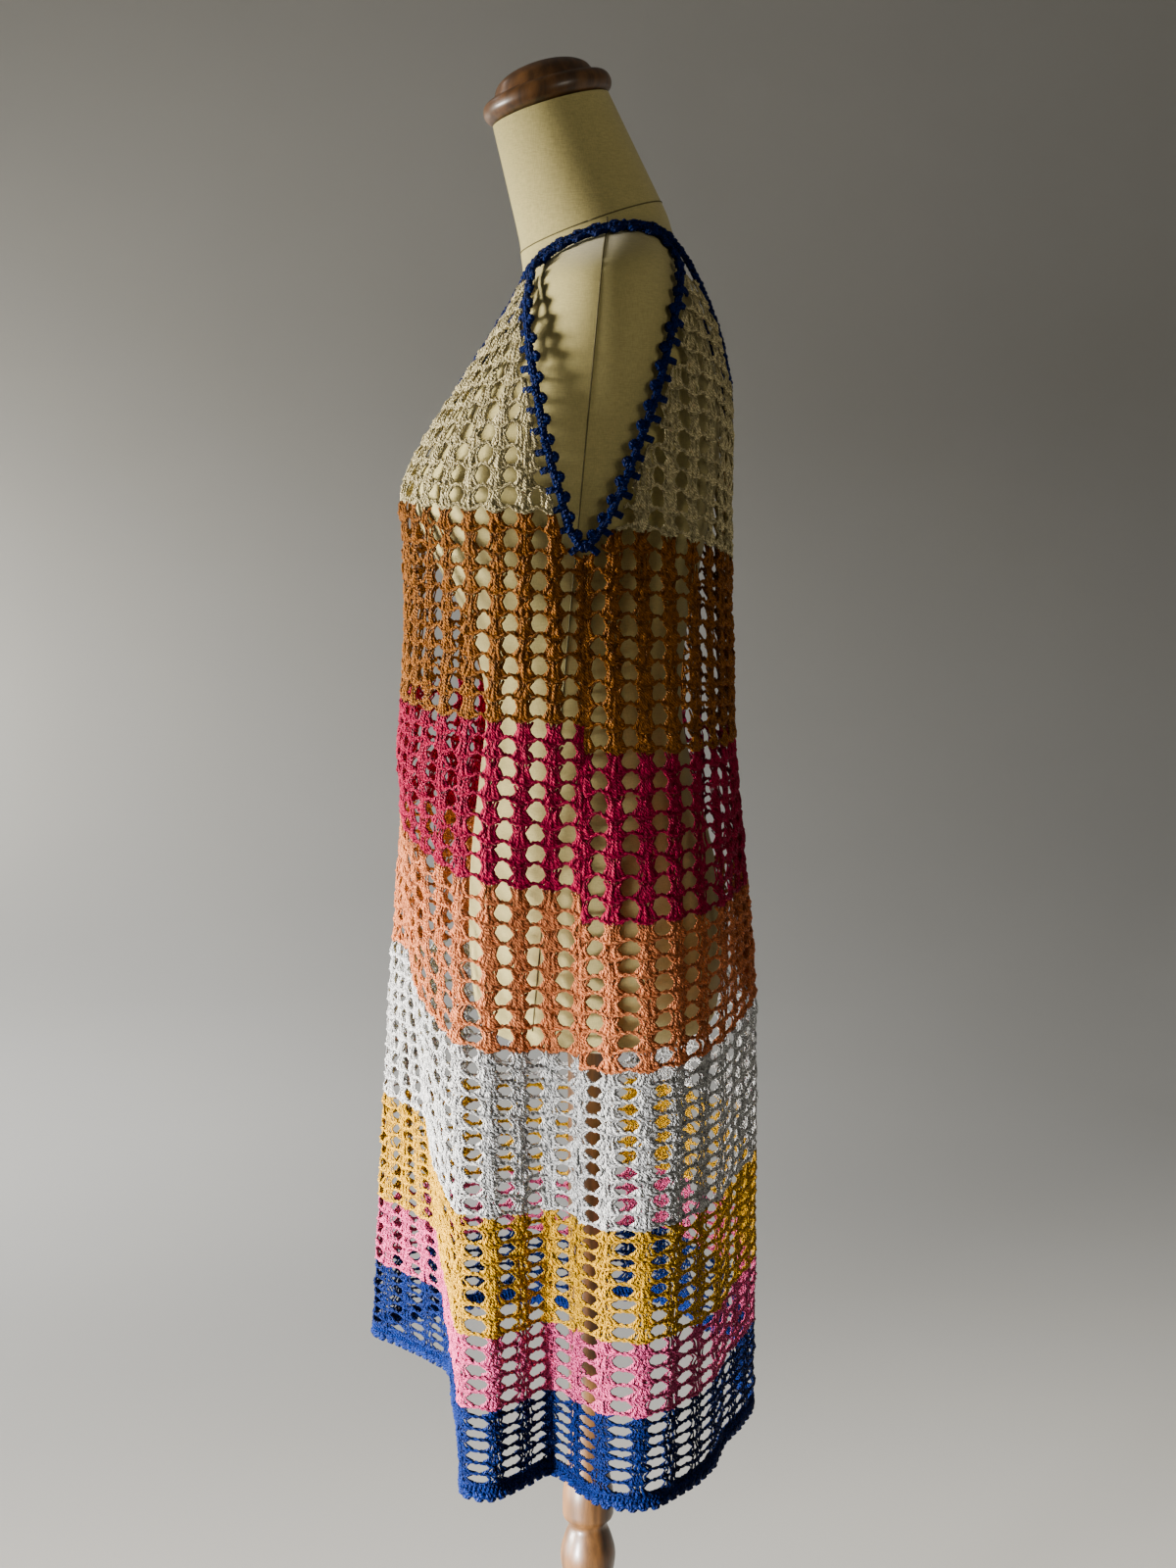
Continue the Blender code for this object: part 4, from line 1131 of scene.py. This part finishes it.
def wood_material():
    """Varnished turned wood, with grain along the upright axis."""
    look = Look("varnished_wood", COLOURS["wood"], roughness=0.42)
    long_grain = look.stretched((1.0, 1.0, 0.10))
    grain = look.noise(long_grain, scale=120.0, detail=5.0)
    pores = look.noise(long_grain, scale=900.0)
    look.bump(grain, strength=0.15, distance=0.0004)
    base = look.tint(look.shade(0.55), grain, 0.38, 0.66, factor=1.45)
    base = look.tint(base, pores, 0.56, 0.70, factor=0.40, most=0.45)
    look.set({"Base Color": base, "Coat Weight": 0.3, "Coat Roughness": 0.20})
    return look.material


# Studio

SWEEP_RADIUS = 6.0
SWEEP_HEIGHT = 5.0
SWEEP_BEND = 3.4
SWEEP_FLAT = 2.5
SWEEP_SIDES = 72
SWEEP_RINGS = 12
FLOOR_DARK = (0.49, 0.48, 0.45, 1.0)
FLOOR_PALE = (0.53, 0.52, 0.49, 1.0)
ROOM_COLOUR = (1.0, 0.97, 0.88, 1.0)
ROOM_STRENGTH = 0.07

CAMERA_PLACE = (1.80, 0.0, 1.27)
CAMERA_DOWN = 8.807
CAMERA_LENS = 47.925
CAMERA_SENSOR = 36.0

# Power in watts, and spread in degrees
Light = namedtuple("Light", "name place target size power spread colour")
LIGHTS = (
    Light("window", (0.10, -2.8, 0.92), (0.0, 0.0, 0.56), 1.2, 56.0, 42.0, (1.0, 0.96, 0.88)),
    Light("low_window", (1.9, -2.0, 0.20), (0.0, 0.0, 0.40), 0.45, 12.0, 26.0, (1.0, 1.0, 1.0)),
    Light("fill", (2.4, 1.5, 1.9), (0.0, 0.05, 1.45), 1.0, 1.2, 50.0, (1.0, 0.95, 0.82)),
    Light("overhead", (-1.5, -2.1, 2.5), (-1.9, -1.5, 0.0), 1.4, 72.0, 125.0, (1.0, 1.0, 1.0)),
    Light("wall", (-3.0, -3.2, 0.9), (-5.3, -2.3, 0.3), 1.5, 76.0, 120.0, (1.0, 0.97, 0.90)),
)


def add_sweep():
    """Round pale backdrop: a flat floor that curves up into a wall far behind the object."""
    angles = np.linspace(0.0, pi / 2, SWEEP_RINGS)
    curved = SWEEP_RADIUS - SWEEP_BEND + SWEEP_BEND * np.sin(angles)
    radii = np.concatenate(([SWEEP_FLAT], curved, [SWEEP_RADIUS]))
    heights = np.concatenate(([0.0], SWEEP_BEND - SWEEP_BEND * np.cos(angles), [SWEEP_HEIGHT]))
    turns = np.linspace(0.0, 2 * pi, SWEEP_SIDES, endpoint=False)
    x, y = radii[:, None] * np.cos(turns), radii[:, None] * np.sin(turns)
    rings = np.stack((x, y, heights[:, None] + 0.0 * x), axis=-1)
    look = Look("pale_floor", COLOURS["floor"], roughness=0.9)
    cloud = look.noise(look.place(), scale=1.5)
    look.set({"Base Color": look.mix(cloud, FLOOR_DARK, FLOOR_PALE)})
    ring_skin("floor", rings, look.material, lid=False)


def add_area_light(light):
    data = bpy.data.lights.new(light.name, "AREA")
    data.size = light.size
    data.energy = light.power
    data.color = light.colour
    data.spread = radians(light.spread)
    lamp = bpy.data.objects.new(light.name, data)
    lamp.location = light.place
    lamp.rotation_euler = (Vector(light.target) - Vector(light.place)).to_track_quat("-Z", "Y").to_euler()
    lamp.visible_camera = False
    bpy.context.scene.collection.objects.link(lamp)


def add_camera():
    data = bpy.data.cameras.new("camera")
    data.lens = CAMERA_LENS
    data.sensor_width = CAMERA_SENSOR
    camera = bpy.data.objects.new("camera", data)
    camera.location = CAMERA_PLACE
    camera.rotation_euler = (radians(90 - CAMERA_DOWN), 0.0, radians(90))
    bpy.context.scene.collection.objects.link(camera)
    bpy.context.scene.camera = camera


def add_studio():
    add_sweep()
    for light in LIGHTS:
        add_area_light(light)
    world = bpy.data.worlds.new("soft_room")
    world.use_nodes = True
    background = world.node_tree.nodes["Background"]
    background.inputs["Color"].default_value = ROOM_COLOUR
    background.inputs["Strength"].default_value = ROOM_STRENGTH
    bpy.context.scene.world = world
    add_camera()


# Everything together

SHEET_ROW_STEPS = 2
SHEET_COLUMN_STEPS = 8


def dress():
    outlines = {panel.side: panel_outline(panel, EDGE_GAP) for panel in PANELS}
    materials = {name: yarn_material(name) for name in STITCHES}
    edgings = [add_edging(name, loop, materials["blue"]) for name, loop in edging_loops().items()]
    for panel in PANELS:
        add_hem(panel, materials["blue"])
    for panel in PANELS:
        for name in STITCHES:
            piece = add_band(panel, outlines[panel.side], name, materials[name])
            hand_over(piece, f"{panel.side}_{name}")
            declare_sheet(panel, name)


def declare_sheet(panel, name):
    """Finds points on the dress over one colour's rows and its full width; nothing is made or kept from
    them.
    """
    lines = row_heights(name, panel)
    outline = panel_outline(panel, 0.0)
    rows = np.linspace(0.0, len(lines) - 1.0, (len(lines) - 1) * SHEET_ROW_STEPS + 1)[:, None]
    across = np.linspace(0.0, panel.count, panel.count * SHEET_COLUMN_STEPS + 1)[None]
    heights = height_at(lines, across, rows)
    points, _ = on_dress(panel.start + across, heights)


dress()
form_cover = add_torso(linen_material())
add_form_seams(form_cover, Look("seam_thread", COLOURS["thread"], roughness=0.9).material)
add_wood(wood_material())
add_studio()
